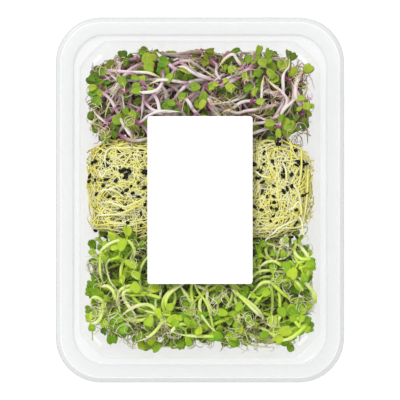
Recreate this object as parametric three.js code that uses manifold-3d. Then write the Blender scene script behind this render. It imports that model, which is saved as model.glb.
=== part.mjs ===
// Spicy sprout mix: red radish, leek and green radish sprouts, in three beds side by side in a clear tray
// with a sealed top film and a label. Millimetres, +Z up. The origin is the middle of the tray's underside,
// and +Y points to the red radish end.

import * as THREE from "three";
import { mergeVertices } from "three/addons/utils/BufferGeometryUtils.js";
import Module from "manifold-3d";

const wasm = await Module();
wasm.setup();

// Tray, a thermoformed sheet
const TRAY_WIDTH = 143;
const TRAY_LENGTH = 181;
const TRAY_HEIGHT = 36;
const SHEET = 0.7; // thickness of the plastic
const LIP_DROP = 2.4; // how far the outer lip turns down
const STEP_DROP = 1.9; // from the sealing flange down to the ledge inside it
const CORNER_PIECES = 5; // straight pieces in each corner

// Its sloping walls, from the ledge to the rounding at the floor
const LEDGE_TOP = TRAY_HEIGHT - STEP_DROP;
const WALL_TOP = LEDGE_TOP - 0.9;
const WALL_MIDDLE = 21;
const WALL_FOOT = 5.2;
const WALL_CORNER = 12;
const wallInset = (z) => 12.3 + 0.075 * (WALL_TOP - z);

// The sheet's upper side from the lip's edge in to the floor: how far in from the outer edge, how high,
// the corner's size, and how far that corner is from round (0) to a straight 45 degree cut (1)
const FLOOR_TOP = SHEET;
const TRAY_PROFILE = [
  { inset: 0, z: TRAY_HEIGHT - LIP_DROP, corner: 22.4, cut: 0 },
  { inset: 1.9, z: TRAY_HEIGHT - 0.25, corner: 20.8, cut: 0 },
  { inset: 2.6, z: TRAY_HEIGHT, corner: 20.3, cut: 0 },
  { inset: 8.7, z: TRAY_HEIGHT, corner: 16, cut: 0 },
  { inset: 9.7, z: LEDGE_TOP, corner: 15.2, cut: 0 },
  { inset: 11.7, z: LEDGE_TOP, corner: 13, cut: 0.7 },
  { inset: wallInset(WALL_TOP), z: WALL_TOP, corner: WALL_CORNER + 0.6, cut: 0.8 },
  { inset: wallInset(WALL_MIDDLE), z: WALL_MIDDLE, corner: WALL_CORNER, cut: 0.85 },
  { inset: wallInset(WALL_FOOT), z: WALL_FOOT, corner: WALL_CORNER - 0.6, cut: 0.85 },
  { inset: wallInset(WALL_FOOT) + 1, z: 2.4, corner: 11, cut: 0.85 },
  { inset: 17.6, z: FLOOR_TOP, corner: 10, cut: 0.8 },
];

// Ribs in the short walls, and buttresses in the long walls that run down into low ridges across the floor.
// Each list has one entry for each of the profile's last rings, from the middle of the wall to the floor
const RIB_PLACES = [-12, 0, 12];
const RIB_HALF = 2.6;
const RIB_DEPTHS = [0.7, 1.9, 1.9, 0];
const RIDGE_PLACES = [-16.1, 28.2];
const RIDGE_HALF = 2.8;
const BUTTRESS_DEPTHS = [1.2, 4.5, 7, 8];
const RIDGE_HEIGHTS = [0, 6, 5.5, 5.2];

// Film and label
const FILM_INSET = 2.6;
const FILM_CORNER = 20.3;
const FILM_THICK = 0.3;
const FILM_ARC_PIECES = 7;
const LABEL_WIDTH = 52;
const LABEL_LENGTH = 83;
const LABEL_CORNER = 1.2;
const LABEL_THICK = 0.3;
const LABEL_ARC_PIECES = 2;

// Kinds of sprout. Lengths are of the whole sprout, from root tip to leaves or seed, and a share is of that.
// turn and wander are how far it bends at each knee, steadily and at random, and droop how limply it lies
const RED_RADISH = {
  length: [54, 76],
  turn: [0.04, 0.4],
  wander: 0.55,
  rootShare: 0.34,
  neckShare: 0.1,
  rootRadius: [0.36, 0.44],
  stemRadius: [0.72, 0.92],
  droop: 0.03,
  leaves: { length: [7.6, 9.6], width: [5.6, 6.8], spread: [0.5, 1.4], rise: [-0.15, 0.25], roll: 0.4 },
};
const GREEN_RADISH = {
  ...RED_RADISH,
  length: [64, 88],
  turn: [0.05, 0.5],
  wander: 0.6,
  stemRadius: [0.76, 0.96],
};
const LEEK = {
  length: [50, 72],
  turn: [0.05, 0.5],
  wander: 0.7,
  rootShare: 0.3,
  neckShare: 0.1,
  rootRadius: [0.44, 0.48],
  stemRadius: [0.44, 0.5],
  droop: 0.014,
  grain: { length: 3.6, width: 2.8, thick: 2.4 },
};
const KNEES = 10; // points where a sprout's straight pieces meet, its ends included
const FINE_STEPS = 5; // samples on each straight piece
const SIDES = 4;
const SINK = 0.8; // how deep a fused sprout lies in what is under it
const CLEAR = 0.4; // gap between a loose sprout and what is under it
const WALL_GAP = 0.2; // least gap to the tray's walls
const BLADE_THICK = 0.7;
const CHOICES = 16; // places tried for each sprout, of which the lowest is taken

// The main sprouts of the two radish beds as they lie seen from above, the lowest first: the line from the
// root's tip to the crown, and the directions in degrees of the two leaves there
const RED_ROUTES = [
  { leaves: [250, 310],
    line: [[-25, 62], [-31, 61.5], [-37.5, 58.5], [-42.5, 56], [-46.5, 54], [-49.5, 51], [-50.5, 47.8]] },
  { leaves: [195, 325],
    line: [[-24, 46], [-31, 44], [-36, 43.5], [-40.5, 42.3], [-44.5, 41], [-47.2, 38]] },
  { leaves: [165, 25],
    line: [[-39, 49.5], [-34, 47.5], [-28, 44.8], [-20, 43.2], [-12, 42.7], [-5, 46]] },
  { leaves: [350, 300],
    line: [[-37, 39.5], [-38, 47], [-39.3, 55], [-40.5, 62], [-39.8, 67.5], [-36, 70], [-31.5, 70.5]] },
  { leaves: [35, 350],
    line: [[-47.5, 40], [-46.5, 45.5], [-43.8, 51], [-41, 56], [-38.3, 60.5], [-36, 64.2], [-30.8, 67.3]] },
  { leaves: [200, 260],
    line: [[-17.2, 44], [-17.2, 52], [-18.8, 55], [-22, 53.2], [-26.5, 48.8], [-32, 43.2]] },
  { leaves: [200, 260],
    line: [[13, 36], [9.5, 43], [6.5, 46.8], [3, 51.2], [-1.5, 53.6], [-6.5, 50]] },
  { leaves: [225, 290],
    line: [[17, 61], [10, 61], [4, 60.3], [-2, 59.6], [-6, 58], [-9, 54.8], [-12, 51]] },
  { leaves: [165, 215],
    line: [[14, 58], [8, 61], [3, 64.3], [-1, 67], [-5, 69.2], [-9, 68.9], [-13.3, 67.2]] },
  { leaves: [30, 340],
    line: [[2, 47], [8, 48], [13, 48.6], [18, 50], [22.5, 52.5], [26, 56.5], [29, 60.5], [32, 63.5]] },
  { leaves: [100, 185],
    line: [[39, 39], [44, 44], [46.3, 50], [46.8, 55], [45.5, 59.3], [42.5, 61.3]] },
  { leaves: [0, 325],
    line: [[12, 34], [20, 33], [26, 33.2], [31, 34.9], [36, 36.5], [39.5, 37]] },
  { leaves: [170, 235],
    line: [[-30, 31.5], [-33.8, 31], [-34.5, 33.5], [-37.5, 38], [-41.5, 44.5], [-45, 50.5], [-48.5, 53.3]] },
  { leaves: [240, 320],
    line: [[44.5, 70.5], [44.3, 66.3], [41.6, 62.5], [41.6, 55], [41.2, 48.5], [37.6, 41.8]] },
];
const GREEN_ROUTES = [
  { leaves: [150, 205],
    line: [[-27, -55], [-31, -52], [-36, -49.5], [-39, -47], [-43, -45], [-48, -44]] },
  { leaves: [335, 290],
    line: [[-51.5, -38], [-51, -31], [-49.5, -27], [-47, -25.8], [-44, -27], [-41, -29], [-37.5, -31]] },
  { leaves: [345, 300],
    line: [[-40, -46], [-44.5, -41], [-46.6, -34], [-47, -29], [-46.5, -25.5], [-43.5, -23.3]] },
  { leaves: [280, 340],
    line: [[-53, -56], [-54.5, -52], [-54, -49], [-51.5, -48.6], [-48.3, -51], [-46.8, -56], [-45, -63.5]] },
  { leaves: [20, 300],
    line: [[-35.5, -68], [-39.3, -63], [-40, -55], [-41, -47], [-36, -43], [-30, -43.2], [-25, -45.5]] },
  { leaves: [170, 230],
    line: [[-19.5, -42], [-19.5, -47], [-22, -50], [-22.2, -54], [-24.5, -58], [-29, -59.8], [-35, -59.7]] },
  { leaves: [10, 300],
    line: [[-2, -36], [-8, -39], [-12.5, -43], [-16.5, -47], [-18.5, -51], [-17.5, -56], [-14.8, -59.5]] },
  { leaves: [275, 330],
    line: [[-18, -36], [-12, -40], [-8, -45.5], [-4.5, -51], [-2, -56], [-1.5, -59.3]] },
  { leaves: [20, 335],
    line: [[-19, -63], [-12, -66.3], [-6, -67.6], [0, -67.8], [6, -68], [12, -68.3]] },
  { leaves: [215, 280],
    line: [[25, -34], [21.5, -40], [20, -44.5], [17.5, -48.5], [13.5, -53.5]] },
  { leaves: [255, 300],
    line: [[22, -54], [23.5, -47], [26.5, -42.5], [30.5, -38.6], [37, -38.6], [44, -38], [49, -39.6]] },
  { leaves: [200, 60],
    line: [[37.5, -68], [32.3, -66], [33.8, -61], [36, -56], [36, -48], [35.5, -42.8]] },
  { leaves: [340, 280],
    line: [[21, -56], [23.5, -49.5], [27.5, -44.5], [31, -41.2], [35.5, -41.3], [40, -45.5], [45, -49.3]] },
  { leaves: [320, 260],
    line: [[38, -27], [38, -23.5], [35.5, -22], [33, -24], [33.7, -28], [37, -31], [43, -32], [49.5, -34]] },
];

// Beds of sprouts: the ends along Y, how high the dense core reaches, how many sprouts are rooted in the
// core's own solid with loose seed coats among them, and those that lie on them, each its own piece: the main
// sprouts, or else a number of loose ones
const BED_HALF_WIDTH = 55.2;
const BED_END = 74.9;
const BED_BASE = FLOOR_TOP + 0.3;
const BASE_TAPER = 4.6; // how much smaller the base is than the top, on every side
const SEAM_GAP = 0.5;
const END_ROUNDING = 0.13;
const SEAM_ROUNDING = 0.06;
const CORNER_REACH = 120.5; // the most that |x| + |y| may be in the tray's cut corners
const SHOULDER = 3.5;
const BUMP = 1.1;
const CORE_CELLS = [10, 5];
const CORE_MARGIN = 0.2; // how much higher than drawn the core counts where something lies on it
const REACH_UNDER = 0.7; // how much further than its own radius a thing looks for what is under it
const REACH_RAISED = 0.4; // and how much further it counts for what comes to lie on it
const CEILING = TRAY_HEIGHT - 0.8;
const [SEAM_LOW, SEAM_HIGH] = RIDGE_PLACES;
const BEDS = [
  {
    name: "red_radish",
    kind: RED_RADISH,
    ends: [SEAM_HIGH + SEAM_GAP, BED_END],
    core: 20,
    fused: 6,
    grains: 0,
    routes: RED_ROUTES,
    seed: 1101,
  },
  {
    name: "leek",
    kind: LEEK,
    ends: [SEAM_LOW + SEAM_GAP, SEAM_HIGH - SEAM_GAP],
    core: 26,
    fused: 9,
    grains: 16,
    loose: 14,
    seed: 2203,
  },
  {
    name: "green_radish",
    kind: GREEN_RADISH,
    ends: [-BED_END, SEAM_LOW - SEAM_GAP],
    core: 23,
    fused: 5,
    grains: 0,
    routes: GREEN_ROUTES,
    seed: 3307,
  },
];

// One half of a seed leaf's outline, from its stalk to its notched tip: how far along its length, and how
// wide as a share of its width
const STALK_HALF = 0.5;
const LEAF_OUTLINE = [
  [0.48, 0.36],
  [0.76, 0.5],
  [0.99, 0.26],
];
const STALK_SHARE = 0.27;
const NOTCH_SHARE = 0.88;
const LEAF_MIDDLE = 0.6;
const LEAF_CUP = 0.7;
const LEAF_REACH = 0.9; // radius that each place on a leaf stands for

// Random numbers that come out the same each time
function randomStream(seed) {
  let state = seed >>> 0;
  return () => {
    state = (Math.imul(state, 1664525) + 1013904223) >>> 0;
    return state / 4294967296;
  };
}

function between(random, [low, high]) {
  return low + (high - low) * random();
}

// Indexed triangles as a solid, turned the right way out
function solidFrom(points, triangles) {
  const mesh = (faces) =>
    new wasm.Manifold(
      new wasm.Mesh({
        numProp: 3,
        vertProperties: new Float32Array(points.flat()),
        triVerts: new Uint32Array(faces.flat()),
      }),
    );
  const solid = mesh(triangles);
  return solid.volume() < 0 ? mesh(triangles.map(([a, b, c]) => [a, c, b])) : solid;
}

// The one body that holds together, without loose scraps and with sealed hollows filled
function largestBody(solid) {
  return solid.decompose().reduce((best, body) => (body.volume() > best.volume() ? body : best));
}

function geometryOf(solid) {
  const mesh = solid.getMesh();
  const geometry = new THREE.BufferGeometry();
  geometry.setAttribute("position", new THREE.BufferAttribute(mesh.vertProperties, 3));
  geometry.setIndex(new THREE.BufferAttribute(mesh.triVerts, 1));
  geometry.computeVertexNormals();
  return geometry;
}

// Tray
// The places along a side where ribs or ridges begin, peak and end, as [place, peak or not]
function stations(places, half) {
  return places.flatMap((place) => [
    [place - half, 0],
    [place, 1],
    [place + half, 0],
  ]);
}

// A quarter corner from angle start, round or cut, at the middle of its circle
function cornerPoints(x, y, size, cut, start) {
  const at = (angle) => [x + size * Math.cos(angle), y + size * Math.sin(angle)];
  const [first, last] = [at(start), at(start + Math.PI / 2)];
  return Array.from({ length: CORNER_PIECES + 1 }, (_, i) => {
    const share = i / CORNER_PIECES;
    const round = at(start + (share * Math.PI) / 2);
    return round.map((v, axis) => v + cut * (first[axis] + share * (last[axis] - first[axis]) - v));
  });
}

// One closed ring of the tray, anticlockwise from its -Y side. rib and buttress are how far those stand in
function trayRing({ inset, z, corner, cut }, rib, buttress, ridge) {
  const [hx, hy] = [TRAY_WIDTH / 2 - inset, TRAY_LENGTH / 2 - inset];
  const [cx, cy] = [hx - corner, hy - corner];
  const ribs = stations(RIB_PLACES, RIB_HALF);
  const ridges = stations(RIDGE_PLACES, RIDGE_HALF);
  const flat = (points) => points.map(([x, y]) => [x, y, z]);
  return [
    ...ribs.map(([x, peak]) => [x, -hy + peak * rib, z]),
    ...flat(cornerPoints(cx, -cy, corner, cut, -Math.PI / 2)),
    ...ridges.map(([y, peak]) => [hx - peak * buttress, y, z + peak * ridge]),
    ...flat(cornerPoints(cx, cy, corner, cut, 0)),
    ...ribs.toReversed().map(([x, peak]) => [x, hy - peak * rib, z]),
    ...flat(cornerPoints(-cx, cy, corner, cut, Math.PI / 2)),
    ...ridges.toReversed().map(([y, peak]) => [-hx + peak * buttress, y, z + peak * ridge]),
    ...flat(cornerPoints(-cx, -cy, corner, cut, Math.PI)),
  ];
}

// The profile moved out and down by the sheet's thickness
function underProfile(profile) {
  const normal = (a, b) => {
    const run = Math.hypot(b.inset - a.inset, b.z - a.z);
    return [(b.z - a.z) / run, -(b.inset - a.inset) / run];
  };
  return profile.map((point, i) => {
    const next = profile[i + 1] ?? { inset: point.inset + 1, z: point.z };
    const after = normal(point, next);
    const before = i ? normal(profile[i - 1], point) : after;
    const scale = SHEET / (1 + before[0] * after[0] + before[1] * after[1]);
    const [shift, drop] = [scale * (before[0] + after[0]), scale * (before[1] + after[1])];
    return { ...point, inset: point.inset + shift, z: point.z + drop, corner: point.corner - shift };
  });
}

// The flat cap of the floor between the last ring's two long sides, with its ridges, as triangles
function floorTriangles(ring) {
  const ribs = 3 * RIB_PLACES.length;
  const ridges = 3 * RIDGE_PLACES.length;
  const corner = CORNER_PIECES + 1;
  const east = Array.from({ length: ridges }, (_, i) => ribs + corner + i);
  const west = Array.from({ length: ridges }, (_, i) => 2 * ribs + 3 * corner + 2 * ridges - 1 - i);
  const strips = east.slice(1).flatMap((_, i) => [
    [west[i], east[i], east[i + 1]],
    [west[i], east[i + 1], west[i + 1]],
  ]);
  const fan = (loop) => loop.slice(2).map((_, i) => [loop[0], loop[i + 1], loop[i + 2]]);
  const run = (from, to) => Array.from({ length: to - from + 1 }, (_, i) => from + i);
  const south = [...run(west[0], ring - 1), ...run(0, east[0])];
  const north = run(east[ridges - 1], west[ridges - 1]);
  return [...strips, ...fan(south), ...fan(north)];
}

function traySolid() {
  const rings = (profile) =>
    profile.map((level, i) => {
      const k = i - (profile.length - RIB_DEPTHS.length);
      return trayRing(level, RIB_DEPTHS[k] ?? 0, BUTTRESS_DEPTHS[k] ?? 0, RIDGE_HEIGHTS[k] ?? 0);
    });
  const upper = rings(TRAY_PROFILE);
  const lower = rings(underProfile(TRAY_PROFILE));
  const size = upper[0].length;
  const skin = (from, to) =>
    Array.from({ length: size }, (_, i) => [i, (i + 1) % size]).flatMap(([i, j]) => [
      [from + i, from + j, to + j],
      [from + i, to + j, to + i],
    ]);
  const flip = ([a, b, c]) => [a, c, b];
  const shift = (by) => (triangle) => triangle.map((v) => v + by);
  const under = upper.length * size;
  const triangles = upper.slice(1).flatMap((_, i) => [
    ...skin(i * size, (i + 1) * size),
    ...skin(under + i * size, under + (i + 1) * size).map(flip),
  ]);
  const floor = floorTriangles(size);
  triangles.push(...skin(0, under).map(flip));
  triangles.push(...floor.map(shift(under - size)));
  triangles.push(...floor.map(shift(2 * under - size)).map(flip));
  return solidFrom([...upper.flat(), ...lower.flat()], triangles);
}

// A flat sheet with round corners
function sheetGeometry(width, length, corner, thick, arcPieces) {
  const [x, y] = [width / 2, length / 2];
  const outline = new THREE.Shape();
  outline.moveTo(-x + corner, -y);
  outline.lineTo(x - corner, -y);
  outline.absarc(x - corner, -y + corner, corner, -Math.PI / 2, 0);
  outline.absarc(x - corner, y - corner, corner, 0, Math.PI / 2);
  outline.absarc(-x + corner, y - corner, corner, Math.PI / 2, Math.PI);
  outline.absarc(-x + corner, -y + corner, corner, Math.PI, 1.5 * Math.PI);
  return new THREE.ExtrudeGeometry(outline, { depth: thick, bevelEnabled: false, curveSegments: arcPieces });
}

// Beds
const middleOf = ({ ends: [low, high] }) => (low + high) / 2;
const halfOf = ({ ends: [low, high] }) => (high - low) / 2;

// How high the dense core of a bed reaches
function coreTop(bed, x, y) {
  const [a, b] = [x / BED_HALF_WIDTH, (y - middleOf(bed)) / halfOf(bed)];
  const bumps = Math.sin(0.17 * x + bed.seed) * Math.cos(0.21 * y + bed.seed);
  return bed.core - SHOULDER * (a ** 6 + b ** 6) + BUMP * bumps;
}

// The core as a mound with rounded corners, on a smaller base
function coreSolid(bed) {
  const [nx, ny] = CORE_CELLS;
  const plan = (i, j, taper) => {
    const [u, v] = [(2 * i) / nx - 1, (2 * j) / ny - 1];
    const rounding = v * middleOf(bed) > 0 ? END_ROUNDING : SEAM_ROUNDING;
    return [
      (BED_HALF_WIDTH - taper) * u * (1 - rounding * v ** 6),
      middleOf(bed) + (halfOf(bed) - taper) * v * (1 - rounding * u ** 6),
    ];
  };
  const at = (i, j) => j * (nx + 1) + i;
  const points = [];
  const triangles = [];
  for (let j = 0; j <= ny; j++) {
    for (let i = 0; i <= nx; i++) {
      const [x, y] = plan(i, j, 0);
      points.push([x, y, coreTop(bed, x, y)]);
      if (i < nx && j < ny) triangles.push([at(i, j), at(i + 1, j), at(i + 1, j + 1)]);
      if (i < nx && j < ny) triangles.push([at(i, j), at(i + 1, j + 1), at(i, j + 1)]);
    }
  }
  const rim = [
    ...Array.from({ length: nx }, (_, i) => [i, 0]),
    ...Array.from({ length: ny }, (_, j) => [nx, j]),
    ...Array.from({ length: nx }, (_, i) => [nx - i, ny]),
    ...Array.from({ length: ny }, (_, j) => [0, ny - j]),
  ];
  const base = points.length;
  points.push(...rim.map(([i, j]) => [...plan(i, j, BASE_TAPER), BED_BASE]), [0, middleOf(bed), BED_BASE]);
  rim.forEach(([i, j], k) => {
    const next = (k + 1) % rim.length;
    triangles.push([at(i, j), base + k, base + next], [at(i, j), base + next, at(...rim[next])]);
    triangles.push([points.length - 1, base + next, base + k]);
  });
  return solidFrom(points, triangles);
}

// How far inside the tray's walls a place is, with the buttresses
function roomAt({ x, y, z }) {
  const inset = wallInset(Math.min(z, WALL_TOP));
  const [hx, hy] = [TRAY_WIDTH / 2 - inset, TRAY_LENGTH / 2 - inset];
  const nearest = Math.min(...RIDGE_PLACES.map((place) => Math.abs(y - place)));
  const depth = z < WALL_MIDDLE ? BUTTRESS_DEPTHS[1] : BUTTRESS_DEPTHS[0];
  const buttress = depth * Math.max(0, 1 - nearest / RIDGE_HALF);
  const corner = (hx + hy - WALL_CORNER - Math.abs(x) - Math.abs(y)) / Math.SQRT2;
  return Math.min(hx - buttress - Math.abs(x), hy - Math.abs(y), corner);
}

// How high everything laid so far reaches, on a grid of 1 mm cells seen from above
class Pile {
  constructor(bed) {
    this.reach = [60, 80];
    this.size = this.reach.map((half) => 2 * half);
    this.height = new Float64Array(this.size[0] * this.size[1]).fill(BED_BASE);
    this.visit(0, 0, 200, (cell, x, y) => {
      const corner = Math.abs(x) + Math.abs(y) > CORNER_REACH;
      const outside = Math.abs(x) > BED_HALF_WIDTH || y < bed.ends[0] || y > bed.ends[1];
      if (!corner && !outside) this.height[cell] = coreTop(bed, x, y) + CORE_MARGIN;
    });
  }

  visit(x, y, radius, act) {
    const [[west, east], [south, north]] = [x, y].map((middle, axis) =>
      [middle - radius, middle + radius].map((end) =>
        Math.max(0, Math.min(this.size[axis] - 1, Math.floor(end + this.reach[axis]))),
      ),
    );
    for (let j = south; j <= north; j++) {
      for (let i = west; i <= east; i++) {
        const [px, py] = [i + 0.5 - this.reach[0], j + 0.5 - this.reach[1]];
        if ((px - x) ** 2 + (py - y) ** 2 <= radius ** 2) act(j * this.size[0] + i, px, py);
      }
    }
  }

  // The highest point under a disc
  under({ x, y }, radius) {
    let top = BED_BASE;
    this.visit(x, y, radius + REACH_UNDER, (cell) => (top = Math.max(top, this.height[cell])));
    return top;
  }

  raise({ x, y }, radius, z) {
    this.visit(x, y, radius + REACH_RAISED, (cell) => (this.height[cell] = Math.max(this.height[cell], z)));
  }
}

// Sprouts
// Keeps a place within limit of the middle, bending smoothly along the edge
function held(value, limit) {
  const free = 0.78 * limit;
  const past = Math.abs(value) - free;
  return past <= 0 ? value : Math.sign(value) * (limit - (limit - free) * Math.exp(-past / (limit - free)));
}

// A sprout's line seen from above: a wandering arc with its middle somewhere in the bed
function sproutPlan(random, bed) {
  const { length, turn, wander } = bed.kind;
  const step = between(random, length) / (KNEES - 1);
  const bend = between(random, turn) * (random() < 0.5 ? -1 : 1);
  let heading = 2 * Math.PI * random();
  const walk = [[0, 0]];
  for (let i = 1; i < KNEES; i++) {
    heading += bend + wander * (random() - 0.5);
    const [x, y] = walk[i - 1];
    walk.push([x + step * Math.cos(heading), y + step * Math.sin(heading)]);
  }
  const mean = [0, 1].map((axis) => walk.reduce((sum, point) => sum + point[axis], 0) / KNEES);
  const home = [BED_HALF_WIDTH * between(random, [-0.9, 0.9]), halfOf(bed) * between(random, [-0.8, 0.8])];
  return walk.map(([x, y]) => {
    const place = [
      held(x - mean[0] + home[0], BED_HALF_WIDTH),
      middleOf(bed) + held(y - mean[1] + home[1], halfOf(bed) - 1),
    ];
    const past = Math.max(0, Math.abs(place[0]) + Math.abs(place[1]) - CORNER_REACH) / 2;
    return new THREE.Vector3(...place.map((v) => v - Math.sign(v) * past), 0);
  });
}

// Samples on the straight pieces between a line's knees
function samplesOf(knees) {
  return Array.from({ length: (KNEES - 1) * FINE_STEPS + 1 }, (_, k) => {
    const i = Math.min(Math.floor(k / FINE_STEPS), KNEES - 2);
    return knees[i].clone().lerp(knees[i + 1], k / FINE_STEPS - i);
  });
}

// Radius at share t of the way from root tip to crown
function radiusAt({ rootShare, neckShare, rootRadius: [tip, neck] }, stem, t) {
  if (t < rootShare) return tip + ((neck - tip) * t) / rootShare;
  return neck + (stem - neck) * Math.min(1, (t - rootShare) / neckShare);
}

// A seed leaf's frame: along, across and up
function leafFrame(random, shape, azimuth) {
  const rise = between(random, shape.rise);
  const roll = shape.roll * (2 * random() - 1);
  const level = new THREE.Vector3(-Math.sin(azimuth), Math.cos(azimuth), 0);
  const ahead = new THREE.Vector3(Math.cos(azimuth), Math.sin(azimuth), 0);
  const along = ahead.multiplyScalar(Math.cos(rise)).setZ(Math.sin(rise));
  const upright = along.clone().cross(level);
  return {
    along,
    across: level.clone().multiplyScalar(Math.cos(roll)).addScaledVector(upright, Math.sin(roll)),
    up: upright.clone().multiplyScalar(Math.cos(roll)).addScaledVector(level, -Math.sin(roll)),
    length: between(random, shape.length),
    width: between(random, shape.width),
  };
}

// A place on a leaf from share of its length, sideways and up from its middle line
function leafPoint(leaf, [share, half, lift]) {
  const point = leaf.along.clone().multiplyScalar(share * leaf.length);
  return point.addScaledVector(leaf.across, half).addScaledVector(leaf.up, lift);
}

// The leaf's outline from its stalk round its notched tip and back
function leafOutline(leaf) {
  const side = (sign) => [
    [-0.06, sign * STALK_HALF, 0],
    [STALK_SHARE, sign * STALK_HALF, 0],
    ...LEAF_OUTLINE.map(([share, width]) => [share, sign * width * leaf.width, LEAF_CUP]),
  ];
  return [...side(1), [NOTCH_SHARE, 0, LEAF_CUP / 2], ...side(-1).toReversed()];
}

// Places that cover a leaf closely
function leafCover(leaf) {
  const rows = [0.4, 0.58, 0.76, 0.92].flatMap((share) =>
    [-0.24, 0, 0.24].map((side) => [share, side * leaf.width, (LEAF_CUP * Math.abs(side)) / 0.5]),
  );
  return [...leafOutline(leaf), ...rows, [0.14, 0, 0]].map((place) => leafPoint(leaf, place));
}

// A sprout's two leaves, which part from where its crown points
function leafPair(random, kind, heading) {
  if (!kind.leaves) return [];
  const turns = [1, -1].map((side) => side * between(random, kind.leaves.spread));
  return turns.map((turn) => leafFrame(random, kind.leaves, heading + turn));
}

// A main sprout's line, with its knees evenly along it
function routeLine({ line }) {
  const places = line.map(([x, y]) => new THREE.Vector3(x, y, 0));
  return new THREE.CatmullRomCurve3(places, false, "catmullrom").getPoints(KNEES - 1);
}

function routeLeaves(random, kind, route) {
  return route.leaves.map((angle) => leafFrame(random, kind.leaves, THREE.MathUtils.degToRad(angle)));
}

// The mean distance between a line's knees
function stepOf(knees) {
  return knees.slice(1).reduce((sum, p, i) => sum + p.distanceTo(knees[i]), 0) / (KNEES - 1);
}

// One sprout as it would lie on the pile, along its route or else at a random place
function lieOf(random, pile, bed, rise, route) {
  const { kind } = bed;
  const knees = route ? routeLine(route) : sproutPlan(random, bed);
  const step = stepOf(knees);
  const crown = knees.at(-1);
  const heading = Math.atan2(crown.y - knees.at(-2).y, crown.x - knees.at(-2).x);
  const leaves = route ? routeLeaves(random, kind, route) : leafPair(random, kind, heading);
  const stem = between(random, kind.stemRadius);
  const samples = samplesOf(knees);
  const radius = samples.map((_, k) => radiusAt(kind, stem, k / (samples.length - 1)));
  const support = samples.map((p, k) => pile.under(p, radius[k]) + radius[k] + rise);
  const cover = leaves.flatMap(leafCover);
  const lift = BLADE_THICK / 2 + CLEAR;
  const floors = cover.map((p) => pile.under(p.clone().add(crown), LEAF_REACH) + lift - p.z);
  if (kind.grain) floors.push(pile.under(crown, kind.grain.length / 2) + kind.grain.width / 2 + rise);
  support.push(Math.max(support.pop(), ...floors));
  knees.forEach((p, i) => {
    p.z = Math.max(...support.map((h, k) => h - kind.droop * (step * (i - k / FINE_STEPS)) ** 2));
  });
  const short = samplesOf(knees).map((p, k) => Math.max(0, support[k] - p.z));
  knees.forEach((p, i) => {
    p.z += Math.max(...short.slice(Math.max(0, (i - 1) * FINE_STEPS), (i + 1) * FINE_STEPS + 1));
  });
  const grains = [kind.grain ?? []].flat();
  const skin = [
    ...samplesOf(knees).map((p, k) => ({ place: p, radius: radius[k] })),
    ...cover.map((p) => ({ place: p.add(crown), radius: BLADE_THICK / 2, spread: LEAF_REACH })),
    ...grains.map(({ width, length }) => ({ place: crown, radius: width / 2, spread: length / 2 })),
  ];
  const top = Math.max(...skin.map((s) => s.place.z + s.radius));
  const seam = Math.max(...skin.map((s) => Math.abs(s.place.y - middleOf(bed)) + s.radius));
  const room = Math.min(...skin.map((s) => roomAt(s.place) - s.radius));
  const fits = seam < halfOf(bed) && room > WALL_GAP && top < CEILING;
  return { kind, knees, stem, heading, crown, leaves, skin, top, fits };
}

function layOn(pile, sprout) {
  sprout.skin.forEach(({ place, radius, spread }) => pile.raise(place, spread ?? radius, place.z + radius));
}

// Lays sprouts on the pile, each at the lowest of a few random places
function laySprouts(random, pile, bed, count, rise) {
  const laid = [];
  for (let i = 0; i < count; i++) {
    const choices = Array.from({ length: CHOICES }, () => lieOf(random, pile, bed, rise));
    const usable = choices.filter((sprout) => sprout.fits);
    if (usable.length === 0) continue;
    const lowest = usable.reduce((best, sprout) => (sprout.top < best.top ? sprout : best));
    layOn(pile, lowest);
    laid.push(lowest);
  }
  return laid;
}

// Lays a bed's main sprouts on the pile, one after another
function layRoutes(random, pile, bed, rise) {
  return bed.routes.map((route, i) => {
    const sprout = lieOf(random, pile, bed, rise, route);
    if (!sprout.fits) throw new Error(`${bed.name} route ${i + 1} doesn't fit the tray`);
    layOn(pile, sprout);
    return sprout;
  });
}

// A tapered rod with straight pieces between a sprout's knees
function rodSolid({ knees, stem, kind }) {
  const points = [];
  let across = new THREE.Vector3(0, 0, 1);
  knees.forEach((p, i) => {
    const radius = radiusAt(kind, stem, i / (KNEES - 1));
    const along = knees[Math.min(KNEES - 1, i + 1)].clone().sub(knees[Math.max(0, i - 1)]).normalize();
    across = across.clone().addScaledVector(along, -across.dot(along)).normalize();
    const other = along.clone().cross(across);
    for (let k = 0; k < SIDES; k++) {
      const angle = (2 * Math.PI * (k + 0.5)) / SIDES;
      const out = across.clone().multiplyScalar(Math.cos(angle)).addScaledVector(other, Math.sin(angle));
      points.push(out.multiplyScalar(radius).add(p).toArray());
    }
  });
  const triangles = [];
  for (let i = 0; i + 1 < KNEES; i++) {
    for (let k = 0; k < SIDES; k++) {
      const [a, b] = [i * SIDES + k, i * SIDES + ((k + 1) % SIDES)];
      triangles.push([a, b, b + SIDES], [a, b + SIDES, a + SIDES]);
    }
  }
  const end = points.length - SIDES;
  for (let k = 1; k + 1 < SIDES; k++) triangles.push([0, k + 1, k], [end, end + k, end + k + 1]);
  return solidFrom(points, triangles);
}

// A seed leaf as a thin cupped blade with a notched tip
function leafSolid(leaf, crown) {
  const outline = leafOutline(leaf);
  const count = outline.length;
  const layer = (offset) =>
    [...outline, [LEAF_MIDDLE, 0, 0]].map(([share, half, lift]) =>
      leafPoint(leaf, [share, half, lift + offset]).add(crown).toArray(),
    );
  const under = count + 1;
  const triangles = outline.flatMap((_, i) => {
    const j = (i + 1) % count;
    return [
      [count, i, j],
      [under + count, under + j, under + i],
      [i, under + i, under + j],
      [i, under + j, j],
    ];
  });
  return solidFrom([...layer(BLADE_THICK / 2), ...layer(-BLADE_THICK / 2)], triangles);
}

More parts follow.
